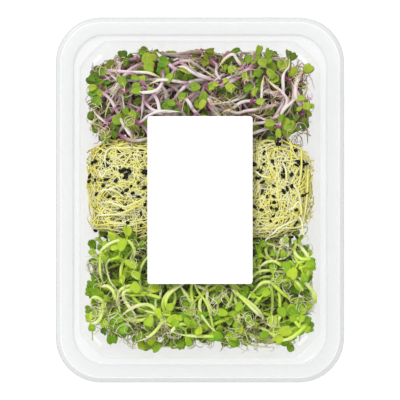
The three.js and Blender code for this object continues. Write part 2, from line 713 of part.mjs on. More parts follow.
// A seed coat, angular and a little flat, at the end of a leek sprout
function grainSolid({ crown, heading, kind: { grain } }) {
  const shape = new THREE.OctahedronGeometry(0.5, 0);
  shape.scale(grain.length, grain.thick, grain.width);
  shape.rotateZ(heading);
  shape.translate(crown.x, crown.y, crown.z);
  shape.deleteAttribute("normal");
  shape.deleteAttribute("uv");
  const { attributes, index } = mergeVertices(shape);
  const threes = (list) =>
    Array.from({ length: list.length / 3 }, (_, i) => [...list.slice(3 * i, 3 * i + 3)]);
  return solidFrom(threes(attributes.position.array), threes(index.array));
}

// Seed coats that lie loose in the bed, as places to sink one in
function strewnGrains(random, pile, bed) {
  return Array.from({ length: bed.grains }, () => {
    const x = BED_HALF_WIDTH * between(random, [-0.9, 0.9]);
    const y = middleOf(bed) + halfOf(bed) * between(random, [-0.85, 0.85]);
    const heading = Math.PI * random();
    const crown = new THREE.Vector3(x, y, pile.under({ x, y }, 0.5) + bed.kind.grain.width / 2 - SINK);
    pile.raise(crown, bed.kind.grain.length / 2, crown.z + bed.kind.grain.width / 2);
    return { crown, heading, kind: bed.kind };
  });
}

function sproutSolid(sprout) {
  const pieces = sprout.leaves.map((leaf) => leafSolid(leaf, sprout.crown));
  if (sprout.kind.grain) pieces.push(grainSolid(sprout));
  return pieces.reduce((whole, piece) => whole.add(piece), rodSolid(sprout));
}

// Materials
const MATERIALS = {
  tray: { color: "#eef1f1", roughness: 0.12, transparent: true, opacity: 0.35 },
  film: { color: "#fbfcfc", roughness: 0.08, transparent: true, opacity: 0.15 },
  label: { color: "#fdfdfd", roughness: 0.45 },
  red_radish: { color: "#8f6a70", roughness: 0.55 },
  leek: { color: "#dcd883", roughness: 0.5 },
  green_radish: { color: "#7fa32f", roughness: 0.5 },
};

function addPiece(group, name, geometry, finish) {
  const material = new THREE.MeshStandardMaterial({ ...MATERIALS[finish], metalness: 0 });
  const piece = new THREE.Mesh(geometry, material);
  piece.name = name;
  group.add(piece);
  return piece;
}

// Assembly
const mix = new THREE.Group();

addPiece(mix, "tray", geometryOf(traySolid()), "tray");

const [FILM_WIDTH, FILM_LENGTH] = [TRAY_WIDTH - 2 * FILM_INSET, TRAY_LENGTH - 2 * FILM_INSET];
const film = sheetGeometry(FILM_WIDTH, FILM_LENGTH, FILM_CORNER, FILM_THICK, FILM_ARC_PIECES);
addPiece(mix, "film", film, "film").position.z = TRAY_HEIGHT;

const label = sheetGeometry(LABEL_WIDTH, LABEL_LENGTH, LABEL_CORNER, LABEL_THICK, LABEL_ARC_PIECES);
addPiece(mix, "label", label, "label").position.z = TRAY_HEIGHT + FILM_THICK;

for (const bed of BEDS) {
  const random = randomStream(bed.seed);
  const pile = new Pile(bed);
  const fused = laySprouts(random, pile, bed, bed.fused, -SINK);
  const rooted = [...fused.map(sproutSolid), ...strewnGrains(random, pile, bed).map(grainSolid)];
  const whole = rooted.reduce((joined, sprout) => joined.add(sprout), coreSolid(bed));
  addPiece(mix, `${bed.name}_bed`, geometryOf(largestBody(whole)), bed.name);
  const loose = bed.routes
    ? layRoutes(random, pile, bed, CLEAR)
    : laySprouts(random, pile, bed, bed.loose, CLEAR);
  loose.forEach((sprout, i) => {
    const number = String(i + 1).padStart(2, "0");
    addPiece(mix, `${bed.name}_sprout_${number}`, geometryOf(largestBody(sproutSolid(sprout))), bed.name);
  });
}

export default mix;
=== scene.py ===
"""Spicy sprout mix: red radish, leek and green radish sprouts in a clear tray with a sealed film and a label.

Sizes are in millimetres until a mesh is made, which is in metres. +Y points to the red radish end.
"""

import math
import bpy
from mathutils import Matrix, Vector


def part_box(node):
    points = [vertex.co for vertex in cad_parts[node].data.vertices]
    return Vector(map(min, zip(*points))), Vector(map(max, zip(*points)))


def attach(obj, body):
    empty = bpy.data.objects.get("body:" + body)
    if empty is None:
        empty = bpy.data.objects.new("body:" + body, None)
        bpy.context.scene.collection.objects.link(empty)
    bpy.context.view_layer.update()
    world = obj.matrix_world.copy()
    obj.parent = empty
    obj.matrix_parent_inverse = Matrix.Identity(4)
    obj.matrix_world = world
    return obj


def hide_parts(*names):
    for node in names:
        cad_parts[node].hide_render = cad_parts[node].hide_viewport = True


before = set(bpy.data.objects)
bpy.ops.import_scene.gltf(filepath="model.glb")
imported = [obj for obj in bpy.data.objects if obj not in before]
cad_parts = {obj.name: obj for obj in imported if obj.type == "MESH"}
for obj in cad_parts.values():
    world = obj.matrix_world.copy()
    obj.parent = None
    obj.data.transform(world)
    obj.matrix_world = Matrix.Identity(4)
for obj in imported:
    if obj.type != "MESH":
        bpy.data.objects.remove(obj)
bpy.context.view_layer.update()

from types import SimpleNamespace

import bpy
import numpy as np

bl_info = {
    "name": "Spicy sprout mix",
    "version": (1, 0, 0),
    "blender": (4, 5, 0),
    "location": "View3D > Sidebar > Sprout Mix",
    "description": "Three beds of sprouts in a clear tray, with its film and label",
    "category": "Add Mesh",
}

MM = 0.001


def in_mm(corner):
    return np.array(corner) / MM


def changed(base, **changes):
    """The same values with some of them changed or added."""
    return SimpleNamespace(**{**vars(base), **changes})


# Stage
FLOOR_HALF = 1500
FLOOR_GAP = 0.05
KEY_SIZE = 18  # how wide the lamp shows, in degrees
KEY_TURN = (-32, -24, 0)  # and how it is turned

# Tray, from the frame
TRAY_LOW, TRAY_HIGH = (in_mm(corner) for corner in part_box("tray"))
FILM_LOW, FILM_HIGH = (in_mm(corner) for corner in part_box("film"))
LABEL_LOW, LABEL_HIGH = (in_mm(corner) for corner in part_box("label"))
TRAY_WIDTH, TRAY_LENGTH, TRAY_HEIGHT = TRAY_HIGH - TRAY_LOW
SHEET = 0.7
LIP_DROP = 2.4
STEP_DROP = 1.9
LEDGE_TOP = TRAY_HEIGHT - STEP_DROP
WALL_TOP = LEDGE_TOP - 0.9
WALL_MIDDLE = 21
WALL_FOOT = 5.2
WALL_INSET = 12.3  # at the wall's top
WALL_SLOPE = 0.075
WALL_CORNER = 12
FLOOR_TOP = SHEET
RIM_BAND = (31, 35)  # heights between which the plastic starts to show more


def wall_inset(z):
    return WALL_INSET + WALL_SLOPE * (WALL_TOP - z)


# The sheet's upper side from the lip's edge in to the floor: how far in from the outer edge, how high, the
# corner's size, how far that corner is from round (0) to a straight cut (1), and how wide the bend there is
TRAY_PROFILE = [
    (0, TRAY_HEIGHT - LIP_DROP, 22.4, 0, 0),
    (1.9, TRAY_HEIGHT - 0.25, 20.8, 0, 0.5),
    (2.6, TRAY_HEIGHT, 20.3, 0, 0.3),
    (8.7, TRAY_HEIGHT, 16, 0, 0.4),
    (9.7, LEDGE_TOP, 15.2, 0, 0.5),
    (11.7, LEDGE_TOP, 13, 0.7, 0.4),
    (wall_inset(WALL_TOP), WALL_TOP, WALL_CORNER + 0.6, 0.8, 0.4),
    (wall_inset(WALL_MIDDLE), WALL_MIDDLE, WALL_CORNER, 0.85, 4),
    (wall_inset(WALL_FOOT), WALL_FOOT, WALL_CORNER - 0.6, 0.85, 1.2),
    (wall_inset(WALL_FOOT) + 1, 2.4, 11, 0.85, 1.2),
    (17.6, FLOOR_TOP, 10, 0.8, 1.2),
]
# Where along the profile, counted in its points, the sheet is painted darker and more opaque (over 0), as
# painted shade along the lip and the step, or clearer (under 0), as a painted highlight along the bends
RIM_SHADE_AND_HIGHLIGHT = [
    (0, 0.48), (1.2, 0.5), (1.55, -0.8), (2, -0.8), (2.04, 0.12), (2.9, 0.12), (3.02, 0.55), (3.2, 0.3),
    (3.8, -0.2), (4.2, 0),
]
CORNER_HIGHLIGHT_RINGS = (7.9, 8.1)  # where along the profile the four cut corners get a painted highlight: the plastic is made clear there, so the bright floor shows through
CORNER_HIGHLIGHT_HALF = 2  # how many points wide each of those is, to either side
BEND_PIECES = 4  # straight pieces in each bend of the profile
CORNER_PIECES = 14

# Ribs in the short walls, and buttresses in the long walls that run down into low ridges across the floor.
# Each list has one entry for each of the profile's last points, from the middle of the wall to the floor
RIB_PLACES = [-12, 0, 12]
RIB_HALF = 2.6
RIB_DEPTHS = [0.7, 1.9, 1.9, 0]
RIDGE_PLACES = [-16.1, 28.2]
RIDGE_HALF = 2.8
BUTTRESS_DEPTHS = [1.2, 4.5, 7, 8]
RIDGE_HEIGHTS = [0, 6, 5.5, 5.2]
RIB_STEPS = 8
RIB_POINTS = len(RIB_PLACES) * (RIB_STEPS + 1)  # in one short side of a ring
RIDGE_POINTS = len(RIDGE_PLACES) * (RIB_STEPS + 1)  # in one long side

# Film and label
FILM_CORNER, LABEL_CORNER = 20.3, 1.2
FILM_POINTS, LABEL_POINTS = (57, 71), (41, 61)
FILM_GAP = 0.05  # between the flange and the film
FILM_SEAL = (62, 80)  # where the film's waves end, from its middle
FILM_FADE = 12  # and how wide the band is in which they fade out

# Kinds of sprout. Lengths are of the whole sprout, from root tip to leaves or seed, and a share is of that.
# turn and wander are how far it bends at each knee, steadily and at random, and droop how limply it lies
LEAVES = SimpleNamespace(length=(7.6, 9.6), width=(5.6, 6.8), spread=(0.5, 1.4), rise=(-0.15, 0.25), roll=0.4)
RED_RADISH = SimpleNamespace(
    length=(54, 76), turn=(0.04, 0.4), wander=0.55, root_share=0.34, neck_share=0.1, root_radius=(0.36, 0.44),
    stem_radius=(0.72, 0.92), droop=0.03, leaves=LEAVES, grain=None,
)
GREEN_RADISH = changed(RED_RADISH, length=(64, 88), turn=(0.05, 0.5), wander=0.6, stem_radius=(0.76, 0.96))
LEEK = SimpleNamespace(
    length=(50, 72), turn=(0.05, 0.5), wander=0.7, root_share=0.3, neck_share=0.1, root_radius=(0.44, 0.48),
    stem_radius=(0.44, 0.5), droop=0.014, leaves=None,
    grain=SimpleNamespace(length=3.6, width=2.8, thick=2.4),
)
COAT = SimpleNamespace(length=3, width=2, thick=2.2)  # the leek's empty seed coats

# Slimmer kinds that are woven in among those
WOVEN_LEAVES = SimpleNamespace(
    length=(6, 9.4), width=(4, 6.6), spread=(0.2, 1.6), rise=(-0.45, 0.5), roll=0.8
)
WOVEN_RED = changed(
    RED_RADISH, length=(40, 78), turn=(0.02, 0.45), wander=0.75, root_share=0.36, neck_share=0.12,
    root_radius=(0.26, 0.36), stem_radius=(0.55, 0.95), leaves=WOVEN_LEAVES,
)
WOVEN_GREEN = changed(WOVEN_RED, length=(46, 88), turn=(0.05, 0.6), wander=0.7, stem_radius=(0.6, 0.95))
WOVEN_LEEK = changed(
    LEEK, length=(22, 48), turn=(0.02, 0.36), wander=0.9, root_radius=(0.22, 0.28), stem_radius=(0.28, 0.4)
)
KNEES = 10  # points that a sprout's line runs through
FINE_STEPS = 5  # steps between two of them where its rest on others is worked out
SINK = 0.8  # how far the lower sprouts sink into what is under them
CLEAR = 0.4  # gap under the upper ones
WALL_GAP = 0.2
BLADE_THICK = 0.7
CHOICES = 16  # places that are tried for each sprout
WOVEN_CHOICES, DEEP_CHOICES = 8, 6
HOME_REACH = (-0.9, 0.9), (-0.8, 0.8)  # where a sprout's middle may lie, across and along a bed
STREWN_REACH = (-0.9, 0.9), (-0.85, 0.85)
FREE_SHARE = 0.78  # how far out lines run before they bend to stay inside
FLOOR_MARGIN, FILM_MARGIN = 0.2, 0.3
ROOM_WOVEN, ROOM_HAIR, ROOM_CURL = 0.5, 0.5, 0.4  # to the walls
HIDDEN_WEIGHT = 0.3  # how much a place inside the heart counts against a woven sprout

# The main sprouts of the two radish beds as they lie seen from above, the lowest first: places from root
# tip to crown, the directions of the leaves there in degrees, and the stem's tone from pale (0) to deep (1)
RED_ROUTES = [
    ([(-25, 62), (-31, 61.5), (-37.5, 58.5), (-42.5, 56), (-46.5, 54), (-49.5, 51), (-50.5, 47.8)],
     250, 310, 0.75),
    ([(-24, 46), (-31, 44), (-36, 43.5), (-40.5, 42.3), (-44.5, 41), (-47.2, 38)],
     195, 325, 0.8),
    ([(-39, 49.5), (-34, 47.5), (-28, 44.8), (-20, 43.2), (-12, 42.7), (-5, 46)],
     165, 25, 0.35),
    ([(-37, 39.5), (-38, 47), (-39.3, 55), (-40.5, 62), (-39.8, 67.5), (-36, 70), (-31.5, 70.5)],
     350, 300, 0.6),
    ([(-47.5, 40), (-46.5, 45.5), (-43.8, 51), (-41, 56), (-38.3, 60.5), (-36, 64.2), (-30.8, 67.3)],
     35, 350, 0.3),
    ([(-17.2, 44), (-17.2, 52), (-18.8, 55), (-22, 53.2), (-26.5, 48.8), (-32, 43.2)],
     200, 260, 0.45),
    ([(13, 36), (9.5, 43), (6.5, 46.8), (3, 51.2), (-1.5, 53.6), (-6.5, 50)],
     200, 260, 0.5),
    ([(17, 61), (10, 61), (4, 60.3), (-2, 59.6), (-6, 58), (-9, 54.8), (-12, 51)],
     225, 290, 0.15),
    ([(14, 58), (8, 61), (3, 64.3), (-1, 67), (-5, 69.2), (-9, 68.9), (-13.3, 67.2)],
     165, 215, 0.25),
    ([(2, 47), (8, 48), (13, 48.6), (18, 50), (22.5, 52.5), (26, 56.5), (29, 60.5), (32, 63.5)],
     30, 340, 0.35),
    ([(39, 39), (44, 44), (46.3, 50), (46.8, 55), (45.5, 59.3), (42.5, 61.3)],
     100, 185, 0.95),
    ([(12, 34), (20, 33), (26, 33.2), (31, 34.9), (36, 36.5), (39.5, 37)],
     0, 325, 0.25),
    ([(-30, 31.5), (-33.8, 31), (-34.5, 33.5), (-37.5, 38), (-41.5, 44.5), (-45, 50.5), (-48.5, 53.3)],
     170, 235, 0.1),
    ([(44.5, 70.5), (44.3, 66.3), (41.6, 62.5), (41.6, 55), (41.2, 48.5), (37.6, 41.8)],
     240, 320, 0.1),
]
GREEN_ROUTES = [
    ([(-27, -55), (-31, -52), (-36, -49.5), (-39, -47), (-43, -45), (-48, -44)],
     150, 205, 0.7),
    ([(-51.5, -38), (-51, -31), (-49.5, -27), (-47, -25.8), (-44, -27), (-41, -29), (-37.5, -31)],
     335, 290, 0.6),
    ([(-40, -46), (-44.5, -41), (-46.6, -34), (-47, -29), (-46.5, -25.5), (-43.5, -23.3)],
     345, 300, 0.3),
    ([(-53, -56), (-54.5, -52), (-54, -49), (-51.5, -48.6), (-48.3, -51), (-46.8, -56), (-45, -63.5)],
     280, 340, 0.5),
    ([(-35.5, -68), (-39.3, -63), (-40, -55), (-41, -47), (-36, -43), (-30, -43.2), (-25, -45.5)],
     20, 300, 0.4),
    ([(-19.5, -42), (-19.5, -47), (-22, -50), (-22.2, -54), (-24.5, -58), (-29, -59.8), (-35, -59.7)],
     170, 230, 0.15),
    ([(-2, -36), (-8, -39), (-12.5, -43), (-16.5, -47), (-18.5, -51), (-17.5, -56), (-14.8, -59.5)],
     10, 300, 0.6),
    ([(-18, -36), (-12, -40), (-8, -45.5), (-4.5, -51), (-2, -56), (-1.5, -59.3)],
     275, 330, 0.2),
    ([(-19, -63), (-12, -66.3), (-6, -67.6), (0, -67.8), (6, -68), (12, -68.3)],
     20, 335, 0.5),
    ([(25, -34), (21.5, -40), (20, -44.5), (17.5, -48.5), (13.5, -53.5)],
     215, 280, 0.5),
    ([(22, -54), (23.5, -47), (26.5, -42.5), (30.5, -38.6), (37, -38.6), (44, -38), (49, -39.6)],
     255, 300, 0.45),
    ([(37.5, -68), (32.3, -66), (33.8, -61), (36, -56), (36, -48), (35.5, -42.8)],
     200, 60, 0.3),
    ([(21, -56), (23.5, -49.5), (27.5, -44.5), (31, -41.2), (35.5, -41.3), (40, -45.5), (45, -49.3)],
     340, 280, 0.7),
    ([(38, -27), (38, -23.5), (35.5, -22), (33, -24), (33.7, -28), (37, -31), (43, -32), (49.5, -34)],
     320, 260, 0.5),
]

# More stems that are woven in among those, in the same way but without leaves
RED_STEMS = [
    ([(-19, 60.5), (-26, 63.2), (-36, 63.7), (-46, 64.6)], 0.05),
    ([(-24, 31.5), (-29, 29.8), (-35, 30), (-41, 33)], 0.9),
    ([(-33.5, 30), (-35.5, 33.5), (-38, 37.5), (-40, 41.5), (-42, 46)], 0.6),
    ([(-20.5, 43), (-20.4, 46), (-21.5, 50), (-24, 53.5)], 0.7),
    ([(-8, 43.5), (-16, 44), (-22.5, 44.3), (-26, 47), (-29, 51)], 0.75),
    ([(-14, 44.5), (-21, 43.8), (-26, 41.5), (-29, 39), (-32.5, 38.3)], 0.8),
    ([(-34, 54), (-28, 53.3), (-22, 54.2), (-19.3, 57), (-18.2, 60.5), (-18.6, 64)], 0.5),
    ([(-26, 57), (-20, 59.5), (-14, 59.2), (-10, 58.6), (-6, 58.2)], 0.4),
    ([(10, 58), (4, 60.8), (-1, 63), (-5, 65.5), (-10, 68.3)], 0.3),
    ([(-12, 66), (-8, 66), (-4, 63.5), (0, 61.5), (6, 60)], 0.1),
    ([(13, 56), (9.5, 61), (8, 64), (8.3, 67.5), (5, 70.3)], 0.7),
    ([(6, 58), (12, 60), (18, 62.7), (23, 64.8), (28, 67.3)], 0.5),
    ([(9, 66), (12.5, 70.5), (16.4, 72.7), (18.5, 70), (20.4, 67.4)], 0.0),
    ([(33, 60.5), (36.5, 57.3), (40.5, 54), (43.3, 50), (42, 45.8), (39, 41.8)], 0.1),
    ([(49.5, 51.8), (46, 49), (42.5, 45.8), (39.5, 42.3), (35, 40)], 0.2),
    ([(12, 45.5), (16.5, 46), (20, 48.4), (24, 49.4), (31, 49)], 0.1),
    ([(10, 42.8), (14, 44.8), (18, 43.3), (23, 44.5), (30, 45.5), (38, 47.5)], 0.2),
    ([(20, 36), (27, 38), (30, 38.3), (34, 38.8)], 0.2),
    ([(14, 37), (8.5, 42.3), (6, 45), (3.5, 48)], 0.9),
    ([(10, 56), (14, 58), (17, 59.7), (20, 61)], 1.0),
    ([(-46, 50), (-41, 57.5), (-38.5, 61), (-35.5, 63), (-31.8, 62)], 0.75),
    ([(-9, 52), (-5.5, 48.5), (-3.5, 45), (0, 41.5)], 0.2),
    ([(28, 54), (34.5, 53.8), (38, 52.5), (41, 51.5)], 1.0),
    ([(53.5, 65), (50, 62.5), (48, 58), (47.5, 52), (50, 47)], 0.1),
    ([(32, 62), (31, 57), (30.7, 52), (30.3, 48.5)], 0.0),
    ([(-10, 73.8), (-5, 74.3), (-1.5, 73.9), (1.2, 73.2)], 1.0),
]
GREEN_STEMS = [
    ([(-52, -28), (-48, -24), (-43, -20.8), (-37, -20), (-33.5, -22.5), (-32.3, -27)], 0.4),
    ([(-31, -59), (-33.5, -55), (-37, -50.5), (-38, -46), (-34, -44.8), (-27, -46.5), (-20, -48.5)], 0.35),
    ([(-39.5, -58), (-34.5, -54), (-29, -52), (-24, -52.8), (-20, -57), (-15, -61.5)], 0.3),
    ([(-5, -40), (-10, -42.5), (-15, -46.5), (-17, -51), (-15, -56.5)], 0.5),
    ([(-22, -53), (-20, -58), (-17, -61), (-14, -62.5)], 0.4),
    ([(-15, -67), (-13.5, -64.5), (-11, -62), (-7, -61.7), (-1, -63.5)], 0.5),
    ([(-3, -42), (0, -43.3), (4, -44.8), (7.5, -44), (8.8, -46.8)], 0.3),
    ([(4, -43), (3.6, -47), (3.7, -50), (5, -53), (7.5, -56)], 0.1),
    ([(16, -38), (16, -42.5), (16, -47), (15, -50.5), (13, -54)], 0.4),
    ([(33, -63), (31.5, -59), (28.5, -54.5), (24, -50.5), (18.5, -46.5), (15, -40)], 0.2),
    ([(30.5, -58.5), (27, -55), (22.5, -50.5), (18, -46)], 0.4),
    ([(37.5, -30), (42, -28.7), (45.5, -26), (47.8, -22.8), (47.3, -20.5)], 0.5),
    ([(49, -21.5), (51.5, -25), (53.7, -28.5), (54, -32), (53, -39)], 0.3),
    ([(46.5, -24.5), (48, -27.5), (50.5, -29.3), (54.5, -29.3)], 0.6),
    ([(27, -35), (26.6, -31), (28.3, -27.8), (29.4, -32), (30, -37)], 0.2),
    ([(34, -69.6), (39, -69.8), (44, -69), (48, -66.5), (52, -62.8)], 0.6),
    ([(43, -55), (40.5, -57.5), (38.7, -60.3), (39.3, -63)], 0.5),
    ([(-55, -61.5), (-51, -60.5), (-49, -57), (-48.3, -52)], 0.5),
    ([(-50, -43.5), (-46.5, -42.8), (-43.5, -44.8), (-42, -49)], 0.2),
    ([(48, -38), (51, -39.8), (54, -43), (57, -47), (57.3, -51)], 0.3),
    ([(29, -34), (33, -31), (37, -30.5), (41, -33)], 0.3),
    ([(42, -36), (46, -39), (49, -42), (51, -45)], 0.4),
]

# Single leaves that show on top, each on a sprout of its own with its other leaf drawn at random: where the
# blade's middle lies, its direction in degrees, its length, and its tone from old and dark (0) to young (1)
RED_LEAVES = [
    (-28.7, 73, 180, 4.4, 0.35), (-22.5, 73, 35, 6, 0.3), (-21, 70.5, 330, 5, 0.4),
    (-27.5, 69.5, 170, 6, 0.35), (-25.5, 66.5, 250, 6, 0.4), (-37.5, 69, 80, 5, 0.35),
    (-18, 68.8, 20, 6, 0.7), (-19, 65, 265, 7, 0.9), (-15.5, 66.8, 350, 5.5, 0.85),
    (-12.7, 62.2, 300, 5, 0.3), (-7, 64.5, 355, 6, 0.6), (-52, 62, 120, 4.5, 0.1),
    (-47, 63.5, 60, 5.5, 0.15), (-50.5, 59, 200, 5.5, 0.2), (-54.2, 60.5, 150, 4, 0),
    (-48.5, 57, 280, 5.5, 0.3), (-53.6, 56, 190, 4.6, 0.95), (-51, 53, 250, 5, 0.3),
    (-28.8, 60, 100, 5, 0.85), (-32.5, 60.5, 160, 4.5, 0.5), (-25.5, 58, 330, 4.5, 0.5),
    (-25, 61, 20, 5, 0.2), (-31.5, 53.8, 0, 6.5, 0.45), (-31, 49.2, 20, 5, 0.4),
    (-47.5, 46.5, 280, 6, 0.35), (-51.8, 42, 240, 6.5, 0.2), (-52, 48, 160, 4.5, 0.3),
    (-33.6, 42.6, 130, 5.5, 0.6), (-31.5, 41.8, 20, 4.5, 0.4), (-43.5, 37.5, 250, 5.5, 0.35),
    (-47, 31.8, 260, 6.5, 0.5), (-43, 33, 310, 5, 0.3), (-14.3, 48, 170, 5, 0.35), (-8, 47, 40, 5, 0.25),
    (-2.5, 56, 190, 6, 0.4), (1.2, 47.5, 60, 6, 0.85), (-1, 46, 200, 5, 0.5), (-5, 61.5, 20, 4.5, 0.5),
    (-29, 33, 340, 6, 0.2), (-27, 38, 80, 6, 0.3), (4.2, 73.5, 5, 5, 0.75), (2.8, 71.5, 300, 4.8, 0.75),
    (11.3, 68, 250, 5.5, 0.35), (13.5, 69, 60, 3.8, 0.4), (12, 65, 350, 4.5, 0.3),
    (15.5, 63.5, 20, 4.5, 0.7), (7.8, 57.6, 170, 3.5, 0.9), (11, 57.6, 175, 5.5, 0.7),
    (15, 56, 320, 6, 0.8), (17.3, 52, 10, 6.5, 0.3), (20.5, 65, 110, 5, 0.8),
    (22.3, 61.3, 290, 5.4, 0.75), (24.2, 70.3, 80, 5.4, 0.5), (26.8, 70, 70, 5.4, 0.45),
    (29.5, 71, 100, 5, 0.65), (31.3, 69, 340, 6, 0.7), (36, 66.3, 140, 7, 0.6),
    (35.6, 63, 310, 6.5, 0.65), (38.5, 60, 340, 6, 0.4), (38, 68.3, 60, 5.5, 0.35),
    (41.5, 67, 40, 4.5, 0.4), (27.5, 54, 70, 5.4, 0.8), (29, 47.2, 95, 6, 0.45), (24, 42.3, 150, 5, 0.5),
    (49.9, 57.2, 60, 5, 0.35), (50, 54, 290, 3.5, 0.3), (53, 49.3, 70, 4.5, 0.6),
    (53, 46.3, 250, 5, 0.75), (55.1, 46.4, 350, 4, 0.7), (50, 48.3, 160, 4.5, 0.6),
    (35.8, 38.8, 250, 6, 0.75), (38.7, 39.6, 20, 4, 0.6), (42.5, 38.6, 350, 6.5, 0.35),
    (47, 40, 30, 5.5, 0.2), (52.5, 38.5, 280, 6, 0.15), (44, 35.5, 350, 6, 0.5),
    (38.6, 33, 260, 5.2, 0.65), (35, 32, 200, 4.5, 0.5), (36, 29.4, 190, 6.5, 0.55),
    (48.5, 36, 250, 4, 0.25), (45, 43.5, 40, 5, 0.3), (30, 43, 290, 4.5, 0.3), (16, 70, 200, 5, 0.1),
    (-36, 57, 30, 4.5, 0.3),
]
GREEN_LEAVES = [
    (-53.3, -26, 130, 4.5, 0.5), (-54, -30, 200, 5, 0.15), (-47, -22.3, 60, 4.5, 0.4),
    (-50, -24.5, 150, 4.5, 0.1), (-42, -22.8, 200, 6.5, 0.8), (-38, -21.5, 20, 6, 0.85),
    (-33.5, -24.5, 330, 5.5, 0.25), (-36, -25.5, 200, 6, 0.15), (-33.5, -28.5, 270, 5, 0.3),
    (-34.2, -32, 330, 7.5, 0.7), (-38.5, -28, 60, 5, 0.15), (-41.2, -36.5, 100, 7.5, 0.45),
    (-34.5, -37, 60, 7, 0.5), (-38.5, -40, 250, 6.5, 0.6), (-47.5, -31, 280, 5, 0.15),
    (-42, -31.5, 300, 5, 0.2), (-52.3, -41, 80, 6.5, 0.45), (-54.5, -42.5, 170, 5.5, 0.25),
    (-49, -40, 340, 6, 0.1), (-53, -45, 220, 6, 0.2), (-54, -47.5, 250, 4.5, 0.1),
    (-44.3, -52, 60, 5.5, 0.35), (-45, -48, 20, 4, 0.2), (-53, -51, 100, 4.5, 0.3),
    (-54.7, -58.5, 190, 5.5, 0.6), (-51, -56, 40, 5, 0.3), (-42.5, -61, 300, 6.5, 0.4),
    (-42.7, -68.6, 280, 4.6, 0.65), (-47.5, -65.5, 250, 5, 0.2), (-48, -60, 240, 5, 0.15),
    (-37, -61.5, 200, 5, 0.3), (-29.8, -55, 110, 5.5, 0.85), (-25.8, -62, 230, 7, 0.6),
    (-24, -65.5, 300, 6, 0.5), (-30, -68, 200, 5, 0.3), (-33, -58, 10, 5, 0.8), (-35, -65.5, 160, 5, 0.3),
    (-36.5, -48.5, 250, 5, 0.25), (-14.2, -49.3, 200, 5, 0.35), (-3.5, -47, 50, 5.5, 0.5),
    (-7, -51.5, 200, 5, 0.2), (-13.5, -59, 20, 6.5, 0.8), (-10.5, -58, 350, 5, 0.7),
    (-0.5, -64.5, 270, 6.5, 0.75), (-6, -60, 330, 5, 0.25), (-20.5, -60, 200, 4, 0.3),
    (-22.5, -43.8, 30, 7, 0.75), (10.5, -44, 120, 5, 0.5), (7.3, -48.4, 210, 5, 0.5),
    (11, -56, 170, 6, 0.5), (10, -60, 280, 5, 0.35), (9.5, -65, 260, 6, 0.45), (6, -62, 200, 5, 0.1),
    (16.5, -67.6, 350, 6.5, 0.55), (23, -57.5, 340, 6, 0.6), (24.5, -60.3, 300, 5.5, 0.45),
    (18, -57.3, 20, 5.5, 0.85), (18, -62, 250, 4.5, 0.2), (29, -24.5, 100, 6.5, 0.4),
    (31.2, -22, 30, 5, 0.3), (28.5, -31, 230, 5, 0.35), (31, -49.5, 200, 7, 0.3), (33, -46, 40, 5, 0.45),
    (36.5, -34, 90, 5.5, 0.5), (42.5, -40.5, 200, 7, 0.55), (49.5, -42.5, 330, 7.5, 0.35),
    (54, -48, 300, 6, 0.05), (48.5, -51, 330, 6.5, 0.45), (41, -55.5, 100, 6.5, 0.35),
    (47, -58, 90, 5.5, 0.4), (44, -60.5, 200, 5, 0.2), (38, -64, 160, 6, 0.8), (42.5, -65, 20, 7.5, 0.85),
    (38.5, -68.3, 260, 5, 0.8), (49, -65, 20, 6, 0.35), (53.6, -60, 60, 5, 0.25),
    (53, -64, 340, 4.8, 0.55), (55.7, -30, 350, 5, 0.5), (55, -27, 40, 4.5, 0.55),
    (50, -36.5, 240, 7.5, 0.7), (54.6, -38.5, 290, 5.5, 0.25), (42, -20, 60, 4.5, 0.6),
    (34, -66, 200, 5, 0.15), (47, -68.2, 300, 4.5, 0.5), (45, -36, 40, 4, 0.1),
    (40.5, -26.5, 200, 5, 0.3), (37, -26, 40, 5, 0.2), (50, -29, 200, 4.5, 0.3), (44.5, -47, 260, 5, 0.2),
    (51, -55, 60, 5, 0.4), (24.5, -53, 40, 5, 0.3), (26, -42, 60, 5, 0.3), (-25, -36, 80, 5, 0.3),
    (-29, -33, 260, 5, 0.2), (-27.5, -49, 200, 4, 0.1),
]

LEEK_STEMS = [
    ([(-50.5, 15), (-48.5, 11.5), (-46.5, 14.3), (-44, 15.3)], 0.0),
    ([(-51, 4.5), (-47, 5), (-43, 5), (-40, 3), (-38, 1.5)], 0.0),
    ([(40.5, 20), (42.3, 16), (42.8, 13), (42.8, 10)], 0.1),
    ([(33, -18.5), (36, -17), (39, -14), (44, -11.5), (47, -10), (48, -8), (45.5, -6.5)], 0.0),
    ([(43, -4.9), (46, -4), (48.3, -1), (50, -3), (50.3, -7)], 0.1),
    ([(48.5, -7.5), (50.5, -11), (51, -16), (52, -18)], 0.1),
    ([(26, 15.5), (30.5, 12), (35, 11)], 0.2),
    ([(-52, -8), (-46, -7.4), (-40, -6.9), (-33, -4)], 0.3),
    ([(-51, -2), (-45, -1), (-38, -3.4), (-33, -1.8), (-27, 1)], 0.4),
]

# Where thin roots curl in clusters on top, and how many
RED_CURLS = [
    (-53, 42, 12), (-50, 36, 8), (-44, 66, 8), (-38, 52, 10), (-13, 51, 12), (-45, 57, 6), (12, 47, 10),
    (21, 55, 6), (50, 62, 12), (36, 52, 8), (30, 42, 6), (48, 33, 8), (-1, 69, 6), (-33, 36, 6),
    (20, 62, 5),
]
GREEN_CURLS = [
    (-50, -33, 8), (-30, -26, 8), (-50, -53, 8), (-36, -50, 6), (-19, -64, 16), (-34, -63, 8),
    (-5, -55, 14), (-13, -65, 10), (3, -53, 8), (21, -62, 12), (12, -48, 8), (38, -37, 10), (33, -63, 8),
    (45, -60, 6), (45, -46, 6), (42, -24, 8), (55, -53, 6), (-42, -48, 5), (-45, -57, 6), (28, -67, 6),
    (-28, -38, 6),
]

